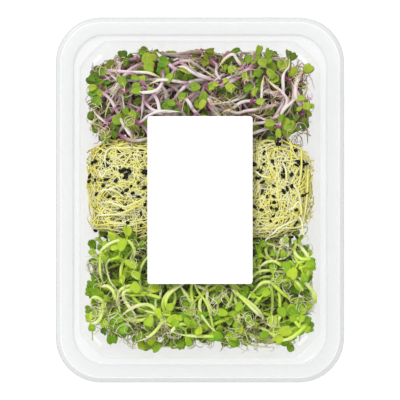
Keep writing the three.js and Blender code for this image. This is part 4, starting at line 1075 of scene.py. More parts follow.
# How finely a sprout is made: steps between its knees, sides of its stem, rows and columns of its leaves
FINE = (5, 8, 11, 9)
TOP = (4, 6, 9, 7)
UPPER = (3, 6, 7, 7)
DEEP = (3, 6, 7, 5)
THREAD = (2, 4, 7, 5)
SEED_SHARE = 0.03  # how many of the leek's threads still hold their seed
COAT_RINGS, COAT_SIDES = 5, 7
COAT_FLAT, FLAT_BELOW = 0.55, -0.3  # how flat a coat's flatter side is, and where it starts
STALK_REACH = (-0.3, 1.25)  # from below the crown into the blade
STALK_RADII = [0.75, 0.6, 0.5, 0.42, 0.3]  # beside the stem's
STALK_SIDES = 5
TIP_REACH = 0.12  # how much of a root tapers to its tip

# A leaf's blade, the side roots, and the curling roots on top and round a bed's edge
BLADE = SimpleNamespace(notch=(0.16, 0.34), cup=(0.6, 1.6), bend=(-0.9, 0.5), wave=(0.05, 0.25), thick=0.3)
HAIR = SimpleNamespace(steps=8, turn=(-0.5, 0.5), length=(4, 11), climb=(-0.12, 0.1), radius=(0.24, 0.12))
CURL = SimpleNamespace(
    steps=12, turn=(-0.55, 0.55), length=(0.6, 1.3), spread=4.5, radius=0.27, reach=0.1, gap=0.3
)
EDGE_CURL = SimpleNamespace(reach=(0.8, 0.97), rise=(0.5, 2), spread=1.5, radius=0.3)


def add_stem(bundle, sprout, steps, sides, tone):
    line = smooth_line(sprout.knees, steps)
    share = np.linspace(0, 1, len(line))
    tip = np.clip(share / TIP_REACH, 0.35, 1)
    radii = radius_at(sprout.kind, sprout.stem, share) * tip
    add_tube(bundle, line, radii, sides, STEM, share, tone)


def add_leaf(bundle, leaf, crown, tone, rows, columns, draws):
    """A seed leaf as a thin heart-shaped blade with a notched tip, on its short stalk."""
    a, b = square_grid(rows, columns)
    # A round disc, drawn in at the stalk and notched at the tip
    ahead, aside = a * np.sqrt(1 - b**2 / 2), b * np.sqrt(1 - a**2 / 2)
    notch = draws.between(BLADE.notch)
    forward = ahead - notch * np.exp(-((aside / 0.3) ** 2)) * np.maximum(0, ahead) ** 1.5
    u, v = (forward + 1) / 2, aside * (0.8 + 0.2 * ahead) / 0.86
    along = leaf.length * (STALK_SHARE + (1 - STALK_SHARE) * u)
    half = leaf.width / 2 * v
    cup = LEAF_CUP * draws.between(BLADE.cup)
    bend, wave = draws.between(BLADE.bend), draws.between(BLADE.wave)
    phase = draws.between((0, 6))
    lift = cup * np.abs(v) ** 1.2 + bend * u**2 + wave * np.sin(7 * u + phase) * v
    middle = along[..., None] * leaf.along + half[..., None] * leaf.across + lift[..., None] * leaf.up
    thick = BLADE.thick * (1 - 0.6 * np.maximum(a**4, b**4))[..., None] * leaf.up
    top, under, inner = two_sided(rows, columns)
    upper = middle + np.where(inner[..., None], thick, 0)
    points = np.concatenate([upper.reshape(-1, 3), (middle - thick)[inner]]) + crown
    faces = np.concatenate([grid_faces(top, flip=True), grid_faces(under)])
    share, side = (np.concatenate([part.ravel(), part[inner]]) for part in (u, v))
    bundle.add(points, faces, LEAF, share=share, side=side, tone=tone)


def add_stalk(bundle, leaf, sprout, tone):
    """The short stalk from the stem's crown to the blade."""
    reach = leaf.length * STALK_SHARE
    rings = len(STALK_RADII)
    t = np.linspace(*STALK_REACH, rings)[:, None]
    line = sprout.crown + t * reach * leaf.along
    radii = np.array(STALK_RADII) * sprout.stem
    add_tube(bundle, line, radii, STALK_SIDES, STEM, np.full(rings, 1.0), tone)


def add_hairs(bundle, sprout, draws, count, tone):
    """Thin side roots that curl off the root."""
    line = smooth_line(sprout.knees, 3)
    share = np.linspace(0, 1, len(line))
    root = line[share < sprout.kind.root_share]
    for _ in range(count):
        start = root[int(draws.one() * len(root))]
        heading = 2 * math.pi * draws.one()
        turn = draws.between(HAIR.turn)
        length = draws.between(HAIR.length)
        places = [start]
        for _ in range(HAIR.steps):
            heading += turn + 0.8 * (draws.one() - 0.5)
            ahead = np.array([math.cos(heading), math.sin(heading), draws.between(HAIR.climb)])
            places.append(places[-1] + ahead * length / HAIR.steps)
        places = np.array(places)
        places[:, 2] = np.clip(places[:, 2], BED_BASE + 0.3, CEILING - 0.2)
        if room_at(places).min() >= ROOM_HAIR:
            add_root(bundle, places, np.linspace(*HAIR.radius, len(places)), tone)


def curl(draws, x, y, spread):
    """A thin root's curling line near a place, seen from above."""
    turn = draws.between(CURL.turn)
    step = draws.between(CURL.length)
    turns = [turn + 1.1 * (draws.one() - 0.5) for _ in range(CURL.steps)]
    walk = walk_of(step, 2 * math.pi * draws.one() + np.cumsum(turns))
    return walk + [x + draws.between((-spread, spread)), y + draws.between((-spread, spread)), 0]


def add_curl(bundle, walk, draws, radius):
    if room_at(walk).min() >= ROOM_CURL and walk[:, 2].max() <= CEILING:
        radii = draws.between((0.7, 1)) * radius * np.linspace(1, 0.6, len(walk))
        add_root(bundle, walk, radii, draws.one())


def add_curls(bundle, bed, pile, draws):
    """The clusters of thin roots on top, limp on what lies under them, and those round the bed's edge."""
    for x, y, count in bed.curls:
        for _ in range(count):
            walk = curl(draws, x, y, CURL.spread)
            walk[:, 2] = pile.under(walk, CURL.reach) + CURL.gap
            walk[1:-1, 2] = np.maximum(walk[1:-1, 2], (walk[:-2, 2] + walk[2:, 2]) / 2)
            add_curl(bundle, walk, draws, CURL.radius)
    for _ in range(FRINGE if bed.curls else 0):
        angle = 2 * math.pi * draws.one()
        c, s = math.cos(angle), math.sin(angle)
        reach = draws.between(EDGE_CURL.reach) / (abs(c) ** ROUND + abs(s) ** ROUND) ** (1 / ROUND)
        x = WOVEN_HALF_WIDTH * reach * c
        y = middle_of(bed) + (half_of(bed) - 1.5) * reach * s
        walk = curl(draws, x, y, EDGE_CURL.spread)
        low = draws.between((4, bed.cover - 3))
        rise = draws.between(EDGE_CURL.rise)
        walk[:, 2] = low + rise * np.sin(draws.between((0, 6)) + 0.5 * np.arange(len(walk)))
        add_curl(bundle, walk, draws, EDGE_CURL.radius)


def add_grain(bundle, place, heading, grain, draws):
    """An angular seed coat with one flatter side."""
    corners = []
    for polar in np.linspace(0.15, math.pi - 0.15, COAT_RINGS):
        for azimuth in np.arange(COAT_SIDES) * 2 * math.pi / COAT_SIDES + 0.4 * polar:
            push = draws.between((0.86, 1.1))
            flat = COAT_FLAT if math.sin(azimuth) < FLAT_BELOW else 1
            out = math.sin(polar)
            corners.append((
                math.cos(polar) * push,
                out * math.cos(azimuth) * push,
                out * math.sin(azimuth) * push * flat,
            ))
    corners = np.array(corners) * [grain.length / 2, grain.thick / 2, grain.width / 2]
    tilt = draws.between((-0.5, 0.5))
    spin = draws.between((0, 2 * math.pi))
    rolled = corners @ turn_matrix(0, spin) @ turn_matrix(1, tilt) @ turn_matrix(2, heading)
    start = bundle.count
    bundle.add(rolled + place, ring_faces(COAT_RINGS, COAT_SIDES)[:, [0, 3, 2, 1]], SEED, tone=draws.one())
    points = list(range(len(corners)))
    bundle.join([points[:COAT_SIDES], points[: -COAT_SIDES - 1 : -1]], SEED, start)


def turn_matrix(axis, angle):
    """Turns row vectors round an axis."""
    c, s = math.cos(angle), math.sin(angle)
    turned = np.eye(3)
    a, b = (axis + 1) % 3, (axis + 2) % 3
    turned[[a, a, b, b], [a, b, a, b]] = [c, s, -s, c]
    return turned


# Shader nodes
def tint(red, green, blue):
    """A colour as it shows on a screen, from 0 to 255, in the linear values that shaders take."""
    parts = [part / 255 for part in (red, green, blue)]
    return tuple(p / 12.92 if p < 0.04045 else ((p + 0.055) / 1.055) ** 2.4 for p in parts)


class Value:
    """A number, colour or vector that changes over a surface. Sums and products of numbers add Math nodes."""

    def __init__(self, shader, socket):
        self.shader = shader
        self.socket = socket

    def __add__(self, other):
        return self.shader.maths("ADD", self, other)

    def __sub__(self, other):
        return self.shader.maths("SUBTRACT", self, other)

    def __rsub__(self, other):
        return self.shader.maths("SUBTRACT", other, self)

    def __mul__(self, other):
        return self.shader.maths("MULTIPLY", self, other)

    def __pow__(self, other):
        return self.shader.maths("POWER", self, other)

    __radd__ = __add__
    __rmul__ = __mul__


class Shader:
    """A material on one Principled shader, and the nodes that feed it."""

    def __init__(self, name, **finish):
        self.material = bpy.data.materials.new(name)
        self.material.use_nodes = True
        self.tree = self.material.node_tree
        self.principled = self.tree.nodes["Principled BSDF"]
        for socket, value in finish.items():
            self.principled.inputs[socket.replace("_", " ")].default_value = value

    def node(self, kind, settings, values, output=0):
        made = self.tree.nodes.new(kind)
        for key, setting in settings.items():
            if key == "stops":
                self.set_stops(made.color_ramp, setting)
            else:
                setattr(made, key, setting)
        for key, value in values.items():
            self.feed(made.inputs[key], value)
        return Value(self, made.outputs[output])

    def set_stops(self, ramp, stops):
        while len(ramp.elements) < len(stops):
            ramp.elements.new(1)
        for element, (place, colour) in zip(ramp.elements, stops, strict=True):
            element.position = place
            element.color = (*colour, 1)

    def feed(self, socket, value):
        if isinstance(value, Value):
            self.tree.links.new(value.socket, socket)
        else:
            socket.default_value = value

    def maths(self, operation, first, second, clamp=False):
        settings = {"operation": operation, "use_clamp": clamp}
        return self.node("ShaderNodeMath", settings, {0: first, 1: second})

    def clamped(self, value):
        return self.maths("ADD", value, 0, clamp=True)

    def between(self, value, low, high):
        """0 at low, 1 at high and held there beyond."""
        ranges = {"From Min": low, "From Max": high, "To Min": 0, "To Max": 1}
        return self.node("ShaderNodeMapRange", {"clamp": True}, {"Value": value, **ranges})

    def mix(self, share, first, second, blend="MIX"):
        first, second = (c if isinstance(c, Value) else (*c, 1) for c in (first, second))
        settings = {"data_type": "RGBA", "blend_type": blend}
        return self.node("ShaderNodeMix", settings, {0: share, 6: first, 7: second}, output=2)

    def ramp(self, value, stops):
        return self.node("ShaderNodeValToRGB", {"stops": stops}, {"Fac": value})

    def mark(self, name):
        return self.node("ShaderNodeAttribute", {"attribute_name": name}, {}, output="Fac")

    def place(self):
        return self.node("ShaderNodeTexCoord", {}, {}, output="Object")

    def part(self, axis):
        """How far along an axis a point is, in millimetres."""
        return self.node("ShaderNodeSeparateXYZ", {}, {0: self.place()}, output=axis) * (1 / MM)

    def edge_on(self, blend):
        """1 where the surface is seen edge on."""
        return self.node("ShaderNodeLayerWeight", {}, {"Blend": blend}, output="Facing")

    def magnitude(self, value):
        return self.maths("ABSOLUTE", value, 0)

    def noise(self, per_mm, detail=2.0):
        values = {"Vector": self.place(), "Scale": per_mm / MM, "Detail": detail}
        return self.node("ShaderNodeTexNoise", {}, values)

    def bump(self, height, distance, strength):
        values = {"Height": height, "Distance": distance * MM, "Strength": strength}
        self.feed(self.principled.inputs["Normal"], self.node("ShaderNodeBump", {}, values))

    def set(self, socket, value):
        self.feed(self.principled.inputs[socket], value)


# Settings that a user would change
def colour_setting(name, description, default):
    return bpy.props.FloatVectorProperty(
        name=name, description=description, subtype="COLOR", size=3, min=0, max=1, default=default
    )


def share_setting(name, description, default):
    return bpy.props.FloatProperty(
        name=name, description=description, subtype="FACTOR", min=0, max=1, default=default
    )


def count_setting(name, description, default):
    return bpy.props.IntProperty(name=name, description=description, min=0, default=default)


def strength_setting(name, description, default):
    return bpy.props.FloatProperty(name=name, description=description, min=0, default=default)


def distance_setting(name, description, default):
    return bpy.props.FloatProperty(
        name=name, description=description, subtype="DISTANCE", unit="LENGTH", default=default
    )


class TraySettings(bpy.types.PropertyGroup):
    plastic: colour_setting("Plastic", "Colour of the clear plastic", tint(224, 226, 227))
    body: share_setting("Body", "How much of what is behind it the plastic hides", 0.2)
    edge: share_setting("Edge", "How much more it hides where it is seen edge on", 0.2)
    roughness: share_setting("Roughness", "How matt the plastic is", 0.14)


class FilmSettings(bpy.types.PropertyGroup):
    body: share_setting("Body", "How much of what is behind it the film hides", 0.008)
    edge: share_setting("Edge", "How much more it hides where it is seen edge on", 0.3)
    slack: distance_setting("Slack", "How far the film's waves stand off flat", 0.12 * MM)


class LabelSettings(bpy.types.PropertyGroup):
    paper: colour_setting("Paper", "Colour of the bare label", tint(250, 250, 250))


def radish_setting(key, default):
    """One of the settings that both radish beds have."""
    label, description = {
        "upper": ("Upper sprouts", "Sprouts woven in near the top of the bed"),
        "deep": ("Deep sprouts", "Sprouts woven in further down"),
        "root": ("Root", "Colour of the thin roots"),
        "foot": ("Stem foot", "Colour of a stem near its root"),
        "middle": ("Stem middle", "Colour half way up a stem"),
        "head": ("Stem head", "Colour of a stem near its leaves"),
        "young": ("Young leaf", "Colour of the palest leaves"),
        "old": ("Old leaf", "Colour of the darkest leaves"),
        # The Depths setting is the tint of painted shade deep in a bed, for its sprouts there and its dense
        # middle
        "depth_shade": ("Depths", "Tint of what lies deep in the bed"),
    }[key]
    if isinstance(default, int):
        return count_setting(label, description, default)
    return colour_setting(label, description, tint(*default))


class RedRadishSettings(bpy.types.PropertyGroup):
    upper: radish_setting("upper", 60)
    deep: radish_setting("deep", 60)
    root: radish_setting("root", (234, 218, 178))
    foot: radish_setting("foot", (242, 236, 230))
    middle: radish_setting("middle", (234, 215, 220))
    head: radish_setting("head", (168, 92, 128))
    young: radish_setting("young", (176, 195, 62))
    old: radish_setting("old", (92, 138, 34))
    depth_shade: radish_setting("depth_shade", (150, 100, 30))


class LeekSettings(bpy.types.PropertyGroup):
    upper: count_setting("Upper threads", "Threads woven in near the top of the bed", 1090)
    deep: count_setting("Deep threads", "Threads woven in further down", 260)
    root: colour_setting("Root", "Colour of the roots", tint(242, 240, 208))
    foot: colour_setting("Thread foot", "Colour of a thread near its root", tint(242, 240, 190))
    middle: colour_setting("Thread middle", "Colour half way up a thread", tint(241, 237, 160))
    head: colour_setting("Thread head", "Colour of a thread near its seed", tint(238, 232, 102))
    coat: colour_setting("Seed coat", "Colour of the seed coats", tint(14, 13, 11))
    # The Depths setting is the tint of painted shade deep in the bed, for its threads there and its dense
    # middle
    depth_shade: colour_setting("Depths", "Tint of what lies deep in the bed", tint(232, 222, 108))


class GreenRadishSettings(bpy.types.PropertyGroup):
    upper: radish_setting("upper", 60)
    deep: radish_setting("deep", 60)
    root: radish_setting("root", (238, 232, 190))
    foot: radish_setting("foot", (230, 240, 166))
    middle: radish_setting("middle", (222, 242, 118))
    head: radish_setting("head", (194, 224, 62))
    young: radish_setting("young", (196, 216, 62))
    old: radish_setting("old", (116, 168, 28))
    depth_shade: radish_setting("depth_shade", (160, 166, 22))


class StageSettings(bpy.types.PropertyGroup):
    camera_height: distance_setting("Camera height", "How far the camera is above the tray's rim", 1.2)
    frame_width: distance_setting("Frame width", "Width that the camera sees at the rim", 0.198)
    surround: strength_setting("Surround", "Strength of the even light from all round", 0.83)
    key: strength_setting("Key", "Strength of the soft lamp from the side", 1.6)
    glow: strength_setting("Glow", "Light that the floor gives off itself", 0.84)
    floor: colour_setting("Floor", "Colour of the floor", tint(120, 120, 120))


# Materials
def shaded(colour, share):
    return tuple(share * part for part in colour)


def clear_plastic(settings):
    shader = Shader("clear plastic", Roughness=settings.roughness, IOR=1.5)
    # tone carries painted light: over 0 it paints shade lines, darker and more opaque, under 0 painted
    # highlights, clearer. Below the rim band the plastic is also darker in colour, but clearer.
    tone = shader.mark("tone")
    high = shader.between(shader.part("Z"), *RIM_BAND)
    shade = shader.clamped(tone + (1 - high) * 0.5)
    shader.set("Base Color", shader.mix(shade, settings.plastic, shaded(settings.plastic, 0.68)))
    # How much the plastic hides also follows the painted shade and highlight lines; it turns clear at the
    # corner highlights
    thick = high + 0.5 + tone * 1.3
    shader.set("Alpha", shader.clamped(shader.edge_on(0.35) ** 5 * settings.edge + thick * settings.body))
    shader.bump(shader.noise(0.06), 0.1, 0.1)
    return shader.material


def clear_film(settings):
    shader = Shader("clear film", Roughness=0.08, IOR=1.5)
    shader.set("Base Color", (*tint(190, 194, 196), 1))
    shader.set("Alpha", shader.clamped(shader.edge_on(0.3) ** 2 * settings.edge + settings.body))
    shader.bump(shader.noise(0.04), 0.1, 0.1)
    return shader.material


def label_paper(settings):
    shader = Shader("label paper", Roughness=0.5)
    fibres = shader.noise(2.5, detail=4)
    shader.set("Base Color", shader.mix(fibres * 0.03, settings.paper, tint(225, 225, 222)))
    shader.bump(fibres, 0.02, 0.4)
    return shader.material


def side_light(shader):
    """1 where light comes in through the tray's walls or its floor, 0 deep inside a bed."""
    x, y = (shader.magnitude(shader.part(axis)) for axis in "XY")
    beside = shader.maths("MAXIMUM", shader.between(x, *SIDES_LIT), shader.between(y, *ENDS_LIT))
    return shader.maths("MAXIMUM", beside, shader.between(shader.part("Z"), *FLOOR_LIT))


def painted_depth_shade(shader, colour, depth_shade, low, high):
    """Paints shade into a colour: darkens it towards the shade tint from height high down to low, but less
    where light comes in through the tray's walls or its floor.
    """
    light = shader.maths("MAXIMUM", shader.between(shader.part("Z"), low, high), side_light(shader) * 0.75)
    return shader.mix(light, shader.mix(0.9, colour, depth_shade, "MULTIPLY"), colour)


def stem_skin(name, settings, low, high):
    """Root, stem and leaf stalk: one colour after another along the sprout, with streaks and blotches, and
    painted shade deeper in the bed.
    """
    shader = Shader(name, Roughness=0.32, IOR=1.42, Specular_IOR_Level=0.14)
    tone = shader.mark("tone")
    along = shader.mark("share") + (tone - 0.5) * 0.36 + (shader.noise(0.22) - 0.5) * 0.2
    root, foot, middle, head = settings.root, settings.foot, settings.middle, settings.head
    stops = [(0, root), (0.06, root), (0.22, foot), (0.55, middle), (0.88, head), (1, shaded(head, 0.55))]
    colour = shader.ramp(shader.clamped(along * 0.86), stops)
    streaks = shader.noise(0.9, detail=3)
    colour = shader.mix(0.22, colour, shader.ramp(streaks, [(0.3, (0.55,) * 3), (0.7, (1,) * 3)]), "MULTIPLY")
    # Painted shade: darker lower in the bed, lighter where light comes in through the walls or floor
    shader.set("Base Color", painted_depth_shade(shader, colour, settings.depth_shade, low, high))
    shader.bump(streaks, 0.05, 0.4)
    return shader.material


def leaf_skin(name, settings, low, high):
    """A seed leaf from old to young, with a paler rib and stalk end and darker spots, and painted shade
    deeper in the bed.
    """
    shader = Shader(name, Roughness=0.4, IOR=1.42, Specular_IOR_Level=0.08)
    old, young = settings.old, settings.young
    age = shader.clamped(shader.mark("tone") + (shader.noise(0.25) - 0.5) * 0.4) ** 1.4
    rib = 1 - shader.between(shader.magnitude(shader.mark("side")), 0, 0.12)
    veins = shader.noise(0.7, detail=3)
    colour = shader.mix(rib * 0.35, shader.mix(age, old, young), young)
    colour = shader.mix(shader.between(veins, 0.45, 0.7) * 0.15, colour, shaded(old, 0.6))
    colour = shader.mix((1 - shader.mark("share")) ** 3 * 0.5, colour, young)
    # Painted shade: darker lower in the bed, lighter where light comes in through the walls or floor
    shader.set("Base Color", painted_depth_shade(shader, colour, settings.depth_shade, low, high))
    shader.bump(veins + rib * 0.4, 0.12, 0.5)
    return shader.material


def winding_lines(shader):
    """Thin winding lines, like threads that cross."""
    lines = 0
    for per_mm in (0.1, 0.15, 0.21, 0.3):
        away = shader.magnitude(shader.noise(per_mm) - 0.5)
        lines = shader.maths("MAXIMUM", lines, 1 - shader.between(away, 0.006, 0.03))
    return lines


def heart_mat(name, settings, dark, pale):
    """The dense middle of a bed, seen only through gaps: painted shade in two shades of its shade tint,
    paler as painted light where light comes in through the tray's walls or floor, with threads on it that
    show more there.
    """
    shader = Shader(name, Roughness=0.8)
    lit = side_light(shader)
    # Random mottle, paler as painted light where light comes in through the walls or floor
    mottle_and_painted_light = shader.clamped(shader.between(shader.noise(0.6, detail=4), 0.4, 0.75) + lit * 0.6)
    shades = [tuple(min(1, part) for part in shaded(settings.depth_shade, share)) for share in (dark, pale)]
    threads = winding_lines(shader)
    # Root-coloured threads that show more as painted light where light comes in
    colour = shader.mix(threads * (lit * 0.6 + 0.1), shader.mix(mottle_and_painted_light, *shades), shaded(settings.root, 0.7))
    shader.set("Base Color", colour)
    shader.bump(mottle_and_painted_light + threads, 1, 1)
    return shader.material


def seed_coat(settings):
    shader = Shader("seed coat", Roughness=0.62, IOR=1.4, Specular_IOR_Level=0.25)
    grain = shader.noise(1.6, detail=4)
    shader.set("Base Color", shader.mix(grain, shaded(settings.coat, 0.4), settings.coat))
    shader.bump(grain, 0.15, 0.6)
    return shader.material


# Tray
def fillet(profile):
    """The profile with each bend rounded by its own radius, and where along the profile each point is."""
    points = [np.array(point[:4], float) for point in profile]
    rounded = [(points[0], 0)]
    for i in range(1, len(points) - 1):
        before, here, after = points[i - 1 : i + 2]
        back, ahead = (min(0.45, profile[i][4] / math.dist(side[:2], here[:2])) for side in (before, after))
        start, end = here + back * (before - here), here + ahead * (after - here)
        for t in np.linspace(0, 1, BEND_PIECES + 1):
            spot = (1 - t) ** 2 * start + 2 * t * (1 - t) * here + t**2 * end
            rounded.append((spot, i + (t - 0.5) * (back if t < 0.5 else ahead) * 2))
    return [*rounded, (points[-1], len(points) - 1)]


def ring_amount(amounts, mark):
    """One of the lists that has an entry for each of the profile's last points, read between them."""
    first = len(TRAY_PROFILE) - len(amounts)
    return float(np.interp(mark, np.arange(first - 1, len(TRAY_PROFILE)), [0, *amounts]))


def stations(places, half):
    """Places along a side where ribs rise and fall, each with how far it stands out there."""
    shares = np.linspace(-1, 1, RIB_STEPS + 1)
    return [(place + half * s, math.cos(math.pi / 2 * s) ** 2) for place in places for s in shares]


def corner_points(x, y, size, cut, start):
    """A quarter corner from angle start, round or cut, at the middle of its circle."""
    share = np.linspace(0, 1, CORNER_PIECES + 1)
    angle = start + share * math.pi / 2
    arc = np.stack([x + size * np.cos(angle), y + size * np.sin(angle)], axis=1)
    chord = arc[0] + share[:, None] * (arc[-1] - arc[0])
    return arc + cut * (chord - arc)


def tray_ring(inset, z, corner, cut, rib, buttress, ridge):
    """One closed ring of the tray, anticlockwise from its -Y side."""
    hx, hy = TRAY_WIDTH / 2 - inset, TRAY_LENGTH / 2 - inset
    cx, cy = hx - corner, hy - corner
    ribs, ridges = stations(RIB_PLACES, RIB_HALF), stations(RIDGE_PLACES, RIDGE_HALF)
    south = [(x, -hy + peak * rib, z) for x, peak in ribs]
    east = [(hx - peak * buttress, y, z + peak * ridge) for y, peak in ridges]
    north = [(x, hy - peak * rib, z) for x, peak in reversed(ribs)]
    west = [(-hx + peak * buttress, y, z + peak * ridge) for y, peak in reversed(ridges)]
    ring = []
    for i, (side, x, y) in enumerate(((south, cx, -cy), (east, cx, cy), (north, -cx, cy), (west, -cx, -cy))):
        flat = corner_points(x, y, corner, cut, (i - 1) * math.pi / 2)
        ring += [*side, *((px, py, z) for px, py in flat)]
    return np.array(ring)


def floor_faces():
    """The floor between the last ring's two long sides, with its ridges."""
    ribs, ridges, corner = RIB_POINTS, RIDGE_POINTS, CORNER_PIECES + 1
    ring = 2 * (ribs + ridges) + 4 * corner
    east = [ribs + corner + i for i in range(ridges)]
    west = [2 * ribs + 3 * corner + 2 * ridges - 1 - i for i in range(ridges)]
    strips = [[west[i], east[i], east[i + 1], west[i + 1]] for i in range(ridges - 1)]
    south = [*range(west[0], ring), *range(east[0] + 1)]
    north = list(range(east[-1], west[-1] + 1))
    return [*strips, south, north]


def corner_middles(size):
    """1 at the middle of each cut corner of a ring, 0 elsewhere."""
    middles = np.zeros(size)
    place = -CORNER_PIECES // 2 - 1
    for side in 2 * (RIB_POINTS, RIDGE_POINTS):
        place += side + CORNER_PIECES + 1
        middles[place - CORNER_HIGHLIGHT_HALF : place + CORNER_HIGHLIGHT_HALF + 1] = 1
    return middles


def add_tray(bundle):
    rounded = fillet(TRAY_PROFILE)
    levels = np.array([spot for spot, _ in rounded])
    run = np.gradient(levels[:, :2], axis=0)
    out = unit(np.stack([run[:, 1], -run[:, 0]], axis=1))
    out[-1] = (0, -1)
    lower = levels.copy()
    lower[:, :2] += SHEET * out
    lower[:, 2] -= SHEET * out[:, 0]
    rings = []
    for side in (levels, lower):
        for level, (_, mark) in zip(side, rounded, strict=True):
            amounts = [ring_amount(a, mark) for a in (RIB_DEPTHS, BUTTRESS_DEPTHS, RIDGE_HEIGHTS)]
            rings.append(tray_ring(*level, *amounts))
    size, count = len(rings[0]), len(levels)
    skin = ring_faces(count, size)
    edge = np.arange(size)
    after = np.roll(edge, -1)
    lip = np.stack([edge + count * size, after + count * size, after, edge], axis=1)
    marks = np.array([mark for _, mark in rounded])
    # Painted light along the rim: shade and highlight lines along the profile, less the painted highlight at
    # the middle of each cut corner
    first, last = CORNER_HIGHLIGHT_RINGS
    streaks = np.outer((marks > first) & (marks < last), corner_middles(size))
    shades = np.interp(marks, *np.array(RIM_SHADE_AND_HIGHLIGHT).T)[:, None] - streaks
    faces = np.concatenate([skin, skin[:, ::-1] + count * size, lip])
    bundle.add(np.concatenate(rings), faces, 0, tone=np.tile(shades, (2, 1)).ravel())
    floor = floor_faces()
    bundle.join(floor, 0, (count - 1) * size)
    bundle.join([face[::-1] for face in floor], 0, (2 * count - 1) * size)


def film_wave(x, y, slack):
    """How far the film hangs below flat: long shallow waves that fade out towards its sealed edge."""
    side, end = FILM_SEAL
    inner = np.clip((side - np.abs(x)) / FILM_FADE, 0, 1) * np.clip((end - np.abs(y)) / FILM_FADE, 0, 1)
    waves = np.sin(0.11 * x + 0.05 * y) + np.sin(0.07 * y - 0.06 * x + 2)
    return slack * inner * (waves / 2 - 1)


def add_sheet(bundle, low, high, corner, counts, slack):
    """A thin sheet with round corners that follows the film's waves."""
    u, v = square_grid(*counts)
    half, middle = (high[:2] - low[:2]) / 2, (high[:2] + low[:2]) / 2
    x, y = half[0] * u, half[1] * v
    # Pulls the square corners in onto their arcs
    inner = half - corner
    past_x, past_y = np.maximum(0, np.abs(x) - inner[0]), np.maximum(0, np.abs(y) - inner[1])
    pull = np.maximum(past_x, past_y) / np.maximum(np.hypot(past_x, past_y), 1e-9)
    x = np.sign(x) * (np.minimum(np.abs(x), inner[0]) + past_x * pull)
    y = np.sign(y) * (np.minimum(np.abs(y), inner[1]) + past_y * pull)
    wave = film_wave(x, y, slack)
    points = [np.stack([x + middle[0], y + middle[1], z + wave], axis=-1) for z in (high[2], low[2])]
    top = np.arange(u.size).reshape(u.shape)
    rim = np.concatenate([top[:-1, 0], top[-1, :-1], top[:0:-1, -1], top[0, :0:-1]])
    after = np.roll(rim, -1)
    sides = np.stack([rim + u.size, after + u.size, after, rim], axis=1)
    faces = np.concatenate([grid_faces(top), grid_faces(top, flip=True) + u.size, sides])
    bundle.add(np.concatenate(points).reshape(-1, 3), faces, 0)


# Beds
def add_heart(bundle, bed, tone):
    """The dense middle of a bed, a bumpy mound in painted shade that stands in for its shaded inside and that
    the sprouts round it hide.
    """
    u, v = square_grid(*HEART_POINTS)
    round_x, round_y = u * (1 - HEART_ROUND * v**4), v * (1 - HEART_ROUND * u**4)
    x = (BED_HALF_WIDTH - bed.heart) * round_x
    y = middle_of(bed) + (half_of(bed) - bed.heart) * round_y
    bumps = np.sin(1.1 * x + bed.seed) * np.cos(1.3 * y) + np.sin(0.5 * x - 0.7 * y)
    edge = np.clip((1 - np.maximum(np.abs(u), np.abs(v))) / HEART_EDGE, 0, 1) ** 0.5
    middle = 0.5 * (bed.cover + bed.heart) - 2
    top = cover_top(bed, x, y) - bed.heart + HEART_BUMP * bumps
    low = bed.heart - 3 + HEART_BUMP * bumps
    grid, under, inner = two_sided(*HEART_POINTS)
    upper, lower = (np.stack([x, y, middle + (z - middle) * edge], axis=-1) for z in (top, low))
    faces = np.concatenate([grid_faces(grid), grid_faces(under, flip=True)])
    bundle.add(np.concatenate([upper.reshape(-1, 3), lower[inner]]), faces, HEART, tone=tone)


def spilling(bed):
    """The bed a little longer where it meets its neighbours, for sprouts that lie across the seam."""
    low, high = bed.ends
    low = low - SPILL if low > -BED_END else WOVEN_END
    return changed(bed, ends=(low, high + SPILL if high < BED_END else high))


def bed_layers(bed, upper, deep):
    """Every sprout of a bed: those that take the place of the frame's bed and its loose sprouts, and those
    woven in among them, on top, near the top and deeper down."""
    draws = Draws(bed.seed)
    pile = core_pile(bed)
    rooted = lay_sprouts(draws, pile, bed, bed.fused, -SINK)
    strewn = strewn_grains(draws, pile, bed, bed.kind.grain, bed.grains)
    if bed.routes:
        loose = lay_routes(draws, pile, bed, bed.kind, bed.routes, CLEAR)
    else:
        loose = lay_sprouts(draws, pile, bed, bed.loose, CLEAR)
    own = Draws(bed.seed + 1)
    wide = spilling(bed)
    kind = bed.woven
    cover = cover_pile(wide)
    lying = changed(kind, droop=LIMP, root_share=0.1, stem_radius=bed.kind.stem_radius)
    for sprout in loose if bed.tops else []:
        stem = sprout.places[:SAMPLES]
        cover.hang(stem, sprout.spreads[:SAMPLES], stem[:, 2] - sprout.radii[:SAMPLES])
    order = sorted(bed.tops, key=lambda place: own.one() + place[4])
    many = round(UNDER_SHARE * len(order))
    on_top = [topped_sprout(own, cover, wide, kind, place, True) for place in order[:many]]
    for sprout in loose:
        raise_pile(cover, sprout)
    on_top += lay_routes(own, cover, wide, lying, bed.stems, 0 if bed.tops else TOP_LAYER - 0.3)
    on_top += [topped_sprout(own, cover, wide, kind, place, False) for place in order[many:]]
    crowd = Crowd()
    for sprout in (*rooted, *loose, *on_top):
        crowd.add(sprout.places)
    fill = changed(wide, cover=bed.cover - (TOP_LAYER - 1 if bed.tops else 0))
    near_top = weave(own, fill, kind, crowd, upper, NEAR_TOP, WOVEN_CHOICES)
    inner = changed(bed, ends=(max(bed.ends[0], WOVEN_END), bed.ends[1]))
    below = weave(own, inner, kind, crowd, deep, bed.cover - 2, DEEP_CHOICES)
    return SimpleNamespace(
        rooted=rooted, strewn=strewn, loose=loose, top=on_top, upper=near_top, deep=below, own=own,
        cover=cover,
    )


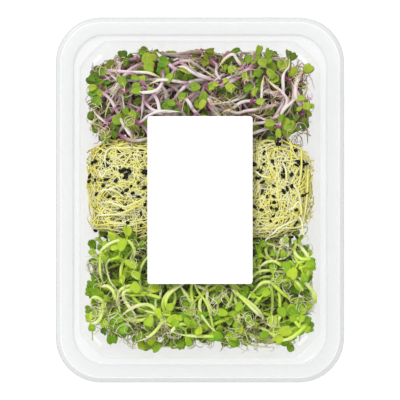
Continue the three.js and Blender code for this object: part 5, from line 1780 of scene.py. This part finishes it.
def add_sprouts(bundle, sprouts, draws, detail, hairs):
    steps, sides, rows, columns = detail
    for sprout in sprouts:
        tone = draws.one() if sprout.tone is None else sprout.tone
        age = draws.one() ** 1.3 if sprout.age is None else sprout.age
        add_stem(bundle, sprout, steps, sides, tone)
        for leaf in sprout.leaves:
            add_stalk(bundle, leaf, sprout, tone)
            leaf_age = age + draws.between((-0.08, 0.08))
            add_leaf(bundle, leaf, sprout.crown, leaf_age, rows, columns, draws)
        add_hairs(bundle, sprout, draws, hairs, tone)
        if sprout.kind.grain and draws.one() < SEED_SHARE:
            add_grain(bundle, sprout.crown, sprout.heading, sprout.kind.grain, draws)


def node_names(prefix):
    return sorted(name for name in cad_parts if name.startswith(prefix))


def build_bed(name, settings, materials):
    bed = BEDS[name]
    layers = bed_layers(bed, settings.upper, settings.deep)
    draws = layers.own
    tangle, loose, woven = Bundle(), Bundle(), Bundle()
    add_heart(tangle, bed, 0.5)
    grain = bed.kind.grain
    hairs = 0 if grain else 3
    add_sprouts(tangle, layers.deep, draws, THREAD if grain else DEEP, min(hairs, 2))
    add_sprouts(tangle, layers.rooted, draws, FINE, hairs)
    for seed in layers.strewn:
        add_grain(tangle, seed.crown, seed.heading, grain, draws)
    add_sprouts(loose, layers.loose, draws, FINE, hairs)
    add_sprouts(woven, layers.upper, draws, THREAD if grain else UPPER, hairs)
    add_sprouts(woven, layers.top, draws, TOP, 1)
    add_curls(woven, bed, layers.cover, draws)
    for x, y, degrees in bed.coats:
        z = cover_top(bed, x, y) + draws.between((-0.3, 0.5))
        size = draws.between((0.7, 1.1))
        coat = SimpleNamespace(**{key: size * value for key, value in vars(COAT).items()})
        add_grain(woven, np.array([x, y, z]), math.radians(degrees), coat, draws)
    for bundle in (tangle, woven):
        bundle.points = [pressed(points) for points in bundle.points]
    finish_piece(tangle.piece(f"{name}_tangle", materials), name, f"{name}_bed")
    finish_piece(loose.piece(f"{name}_upper_sprouts", materials), name, *node_names(f"{name}_sprout_"))
    finish_piece(woven.piece(f"{name}_woven_sprouts", materials), name)


def build_radish_bed(name, settings):
    bed, label = BEDS[name], name.replace("_", " ")
    stem = stem_skin(f"{label} stem", settings, *bed.lit)
    leaf = leaf_skin(f"{label} leaf", settings, *bed.lit)
    build_bed(name, settings, [stem, leaf, leaf, heart_mat(f"{label} depths", settings, *bed.shades)])


def finish_piece(piece, slot, *nodes):
    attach(piece, "root")
    if nodes:
        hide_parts(*nodes)


# Operators
class SPROUTMIX_OT_tray(bpy.types.Operator):
    """Make the clear thermoformed tray"""

    bl_idname = "sprout_mix.tray"
    bl_label = "Tray"

    def execute(self, context):
        bundle = Bundle()
        add_tray(bundle)
        material = clear_plastic(context.scene.sprout_tray)
        finish_piece(bundle.piece("clear_tray", [material]), "clear_tray", "tray")
        return {"FINISHED"}


class SPROUTMIX_OT_film(bpy.types.Operator):
    """Make the sealed top film"""

    bl_idname = "sprout_mix.film"
    bl_label = "Film"

    def execute(self, context):
        settings = context.scene.sprout_film
        bundle = Bundle()
        low = FILM_LOW + [0, 0, FILM_GAP]
        add_sheet(bundle, low, FILM_HIGH, FILM_CORNER, FILM_POINTS, settings.slack / MM)
        finish_piece(bundle.piece("sealing_film", [clear_film(settings)], smooth=False), "clear_film", "film")
        return {"FINISHED"}


class SPROUTMIX_OT_label(bpy.types.Operator):
    """Make the bare label on the film"""

    bl_idname = "sprout_mix.label"
    bl_label = "Label"

    def execute(self, context):
        slack = context.scene.sprout_film.slack / MM
        bundle = Bundle()
        add_sheet(bundle, LABEL_LOW, LABEL_HIGH, LABEL_CORNER, LABEL_POINTS, slack)
        material = label_paper(context.scene.sprout_label)
        finish_piece(bundle.piece("bare_label", [material], smooth=False), "label", "label")
        return {"FINISHED"}


class SPROUTMIX_OT_red_radish(bpy.types.Operator):
    """Lay the bed of red radish sprouts"""

    bl_idname = "sprout_mix.red_radish"
    bl_label = "Red radish bed"

    def execute(self, context):
        build_radish_bed("red_radish", context.scene.sprout_red_radish)
        return {"FINISHED"}


class SPROUTMIX_OT_leek(bpy.types.Operator):
    """Lay the bed of leek sprouts"""

    bl_idname = "sprout_mix.leek"
    bl_label = "Leek bed"

    def execute(self, context):
        settings, bed = context.scene.sprout_leek, BEDS["leek"]
        skin = stem_skin("leek thread", settings, *bed.lit)
        heart = heart_mat("leek depths", settings, *bed.shades)
        build_bed("leek", settings, [skin, skin, seed_coat(settings), heart])
        return {"FINISHED"}


class SPROUTMIX_OT_green_radish(bpy.types.Operator):
    """Lay the bed of green radish sprouts"""

    bl_idname = "sprout_mix.green_radish"
    bl_label = "Green radish bed"

    def execute(self, context):
        build_radish_bed("green_radish", context.scene.sprout_green_radish)
        return {"FINISHED"}


class SPROUTMIX_OT_stage(bpy.types.Operator):
    """Make the pale floor, the soft light and the camera straight above"""

    bl_idname = "sprout_mix.stage"
    bl_label = "Stage"

    def execute(self, context):
        settings = context.scene.sprout_stage
        self.add_floor(context, settings)
        self.add_light(context, settings)
        self.add_camera(context, settings)
        return {"FINISHED"}

    def add_floor(self, context, settings):
        bundle = Bundle()
        corners = [(-1, -1), (1, -1), (1, 1), (-1, 1)]
        places = [(FLOOR_HALF * x, FLOOR_HALF * y, -FLOOR_GAP) for x, y in corners]
        bundle.add(np.array(places), [[0, 1, 2, 3]], 0)
        shader = Shader("floor", Roughness=0.8, Emission_Strength=settings.glow)
        shader.set("Emission Color", (1, 1, 1, 1))
        fine = shader.noise(0.02)
        shader.set("Base Color", shader.mix(fine * 0.04, settings.floor, tint(135, 135, 135)))
        floor = bundle.piece("floor", [shader.material])

    def add_light(self, context, settings):
        world = bpy.data.worlds.new("soft surround")
        world.use_nodes = True
        background = world.node_tree.nodes["Background"]
        background.inputs["Color"].default_value = (1, 1, 1, 1)
        background.inputs["Strength"].default_value = settings.surround
        context.scene.world = world
        lamp = bpy.data.lights.new("key", "SUN")
        lamp.energy = settings.key
        lamp.angle = math.radians(KEY_SIZE)
        key = bpy.data.objects.new("key", lamp)
        key.rotation_euler = [math.radians(turn) for turn in KEY_TURN]
        context.scene.collection.objects.link(key)
        context.scene.view_settings.view_transform = "Standard"

    def add_camera(self, context, settings):
        lens = bpy.data.cameras.new("camera")
        lens.sensor_fit = "HORIZONTAL"
        lens.lens = lens.sensor_width * settings.camera_height / settings.frame_width
        lens.clip_end = 20
        camera = bpy.data.objects.new("camera", lens)
        camera.location = (0, 0, TRAY_HEIGHT * MM + settings.camera_height)
        context.scene.collection.objects.link(camera)
        context.scene.camera = camera


STEPS = [
    SPROUTMIX_OT_stage,
    SPROUTMIX_OT_tray,
    SPROUTMIX_OT_film,
    SPROUTMIX_OT_label,
    SPROUTMIX_OT_red_radish,
    SPROUTMIX_OT_leek,
    SPROUTMIX_OT_green_radish,
]
SETTINGS = {
    "sprout_tray": TraySettings,
    "sprout_film": FilmSettings,
    "sprout_label": LabelSettings,
    "sprout_red_radish": RedRadishSettings,
    "sprout_leek": LeekSettings,
    "sprout_green_radish": GreenRadishSettings,
    "sprout_stage": StageSettings,
}


class SPROUTMIX_PT_panel(bpy.types.Panel):
    """Lists the steps that build the sprout mix, with their settings"""

    bl_label = "Spicy sprout mix"
    bl_space_type = "VIEW_3D"
    bl_region_type = "UI"
    bl_category = "Sprout Mix"

    def draw(self, context):
        for step in STEPS:
            self.layout.operator(step.bl_idname)
        for name, group in SETTINGS.items():
            box = self.layout.box()
            for setting in group.__annotations__:
                box.prop(getattr(context.scene, name), setting)


def register():
    for name, group in SETTINGS.items():
        bpy.utils.register_class(group)
        setattr(bpy.types.Scene, name, bpy.props.PointerProperty(type=group))
    for step in (*STEPS, SPROUTMIX_PT_panel):
        bpy.utils.register_class(step)


def unregister():
    for step in (SPROUTMIX_PT_panel, *reversed(STEPS)):
        bpy.utils.unregister_class(step)
    for name, group in reversed(SETTINGS.items()):
        delattr(bpy.types.Scene, name)
        bpy.utils.unregister_class(group)


def main():
    register()
    bpy.ops.sprout_mix.stage()
    bpy.ops.sprout_mix.tray()
    bpy.ops.sprout_mix.film()
    bpy.ops.sprout_mix.label()
    bpy.ops.sprout_mix.red_radish()
    bpy.ops.sprout_mix.leek()
    bpy.ops.sprout_mix.green_radish()


if __name__ == "__main__":
    main()
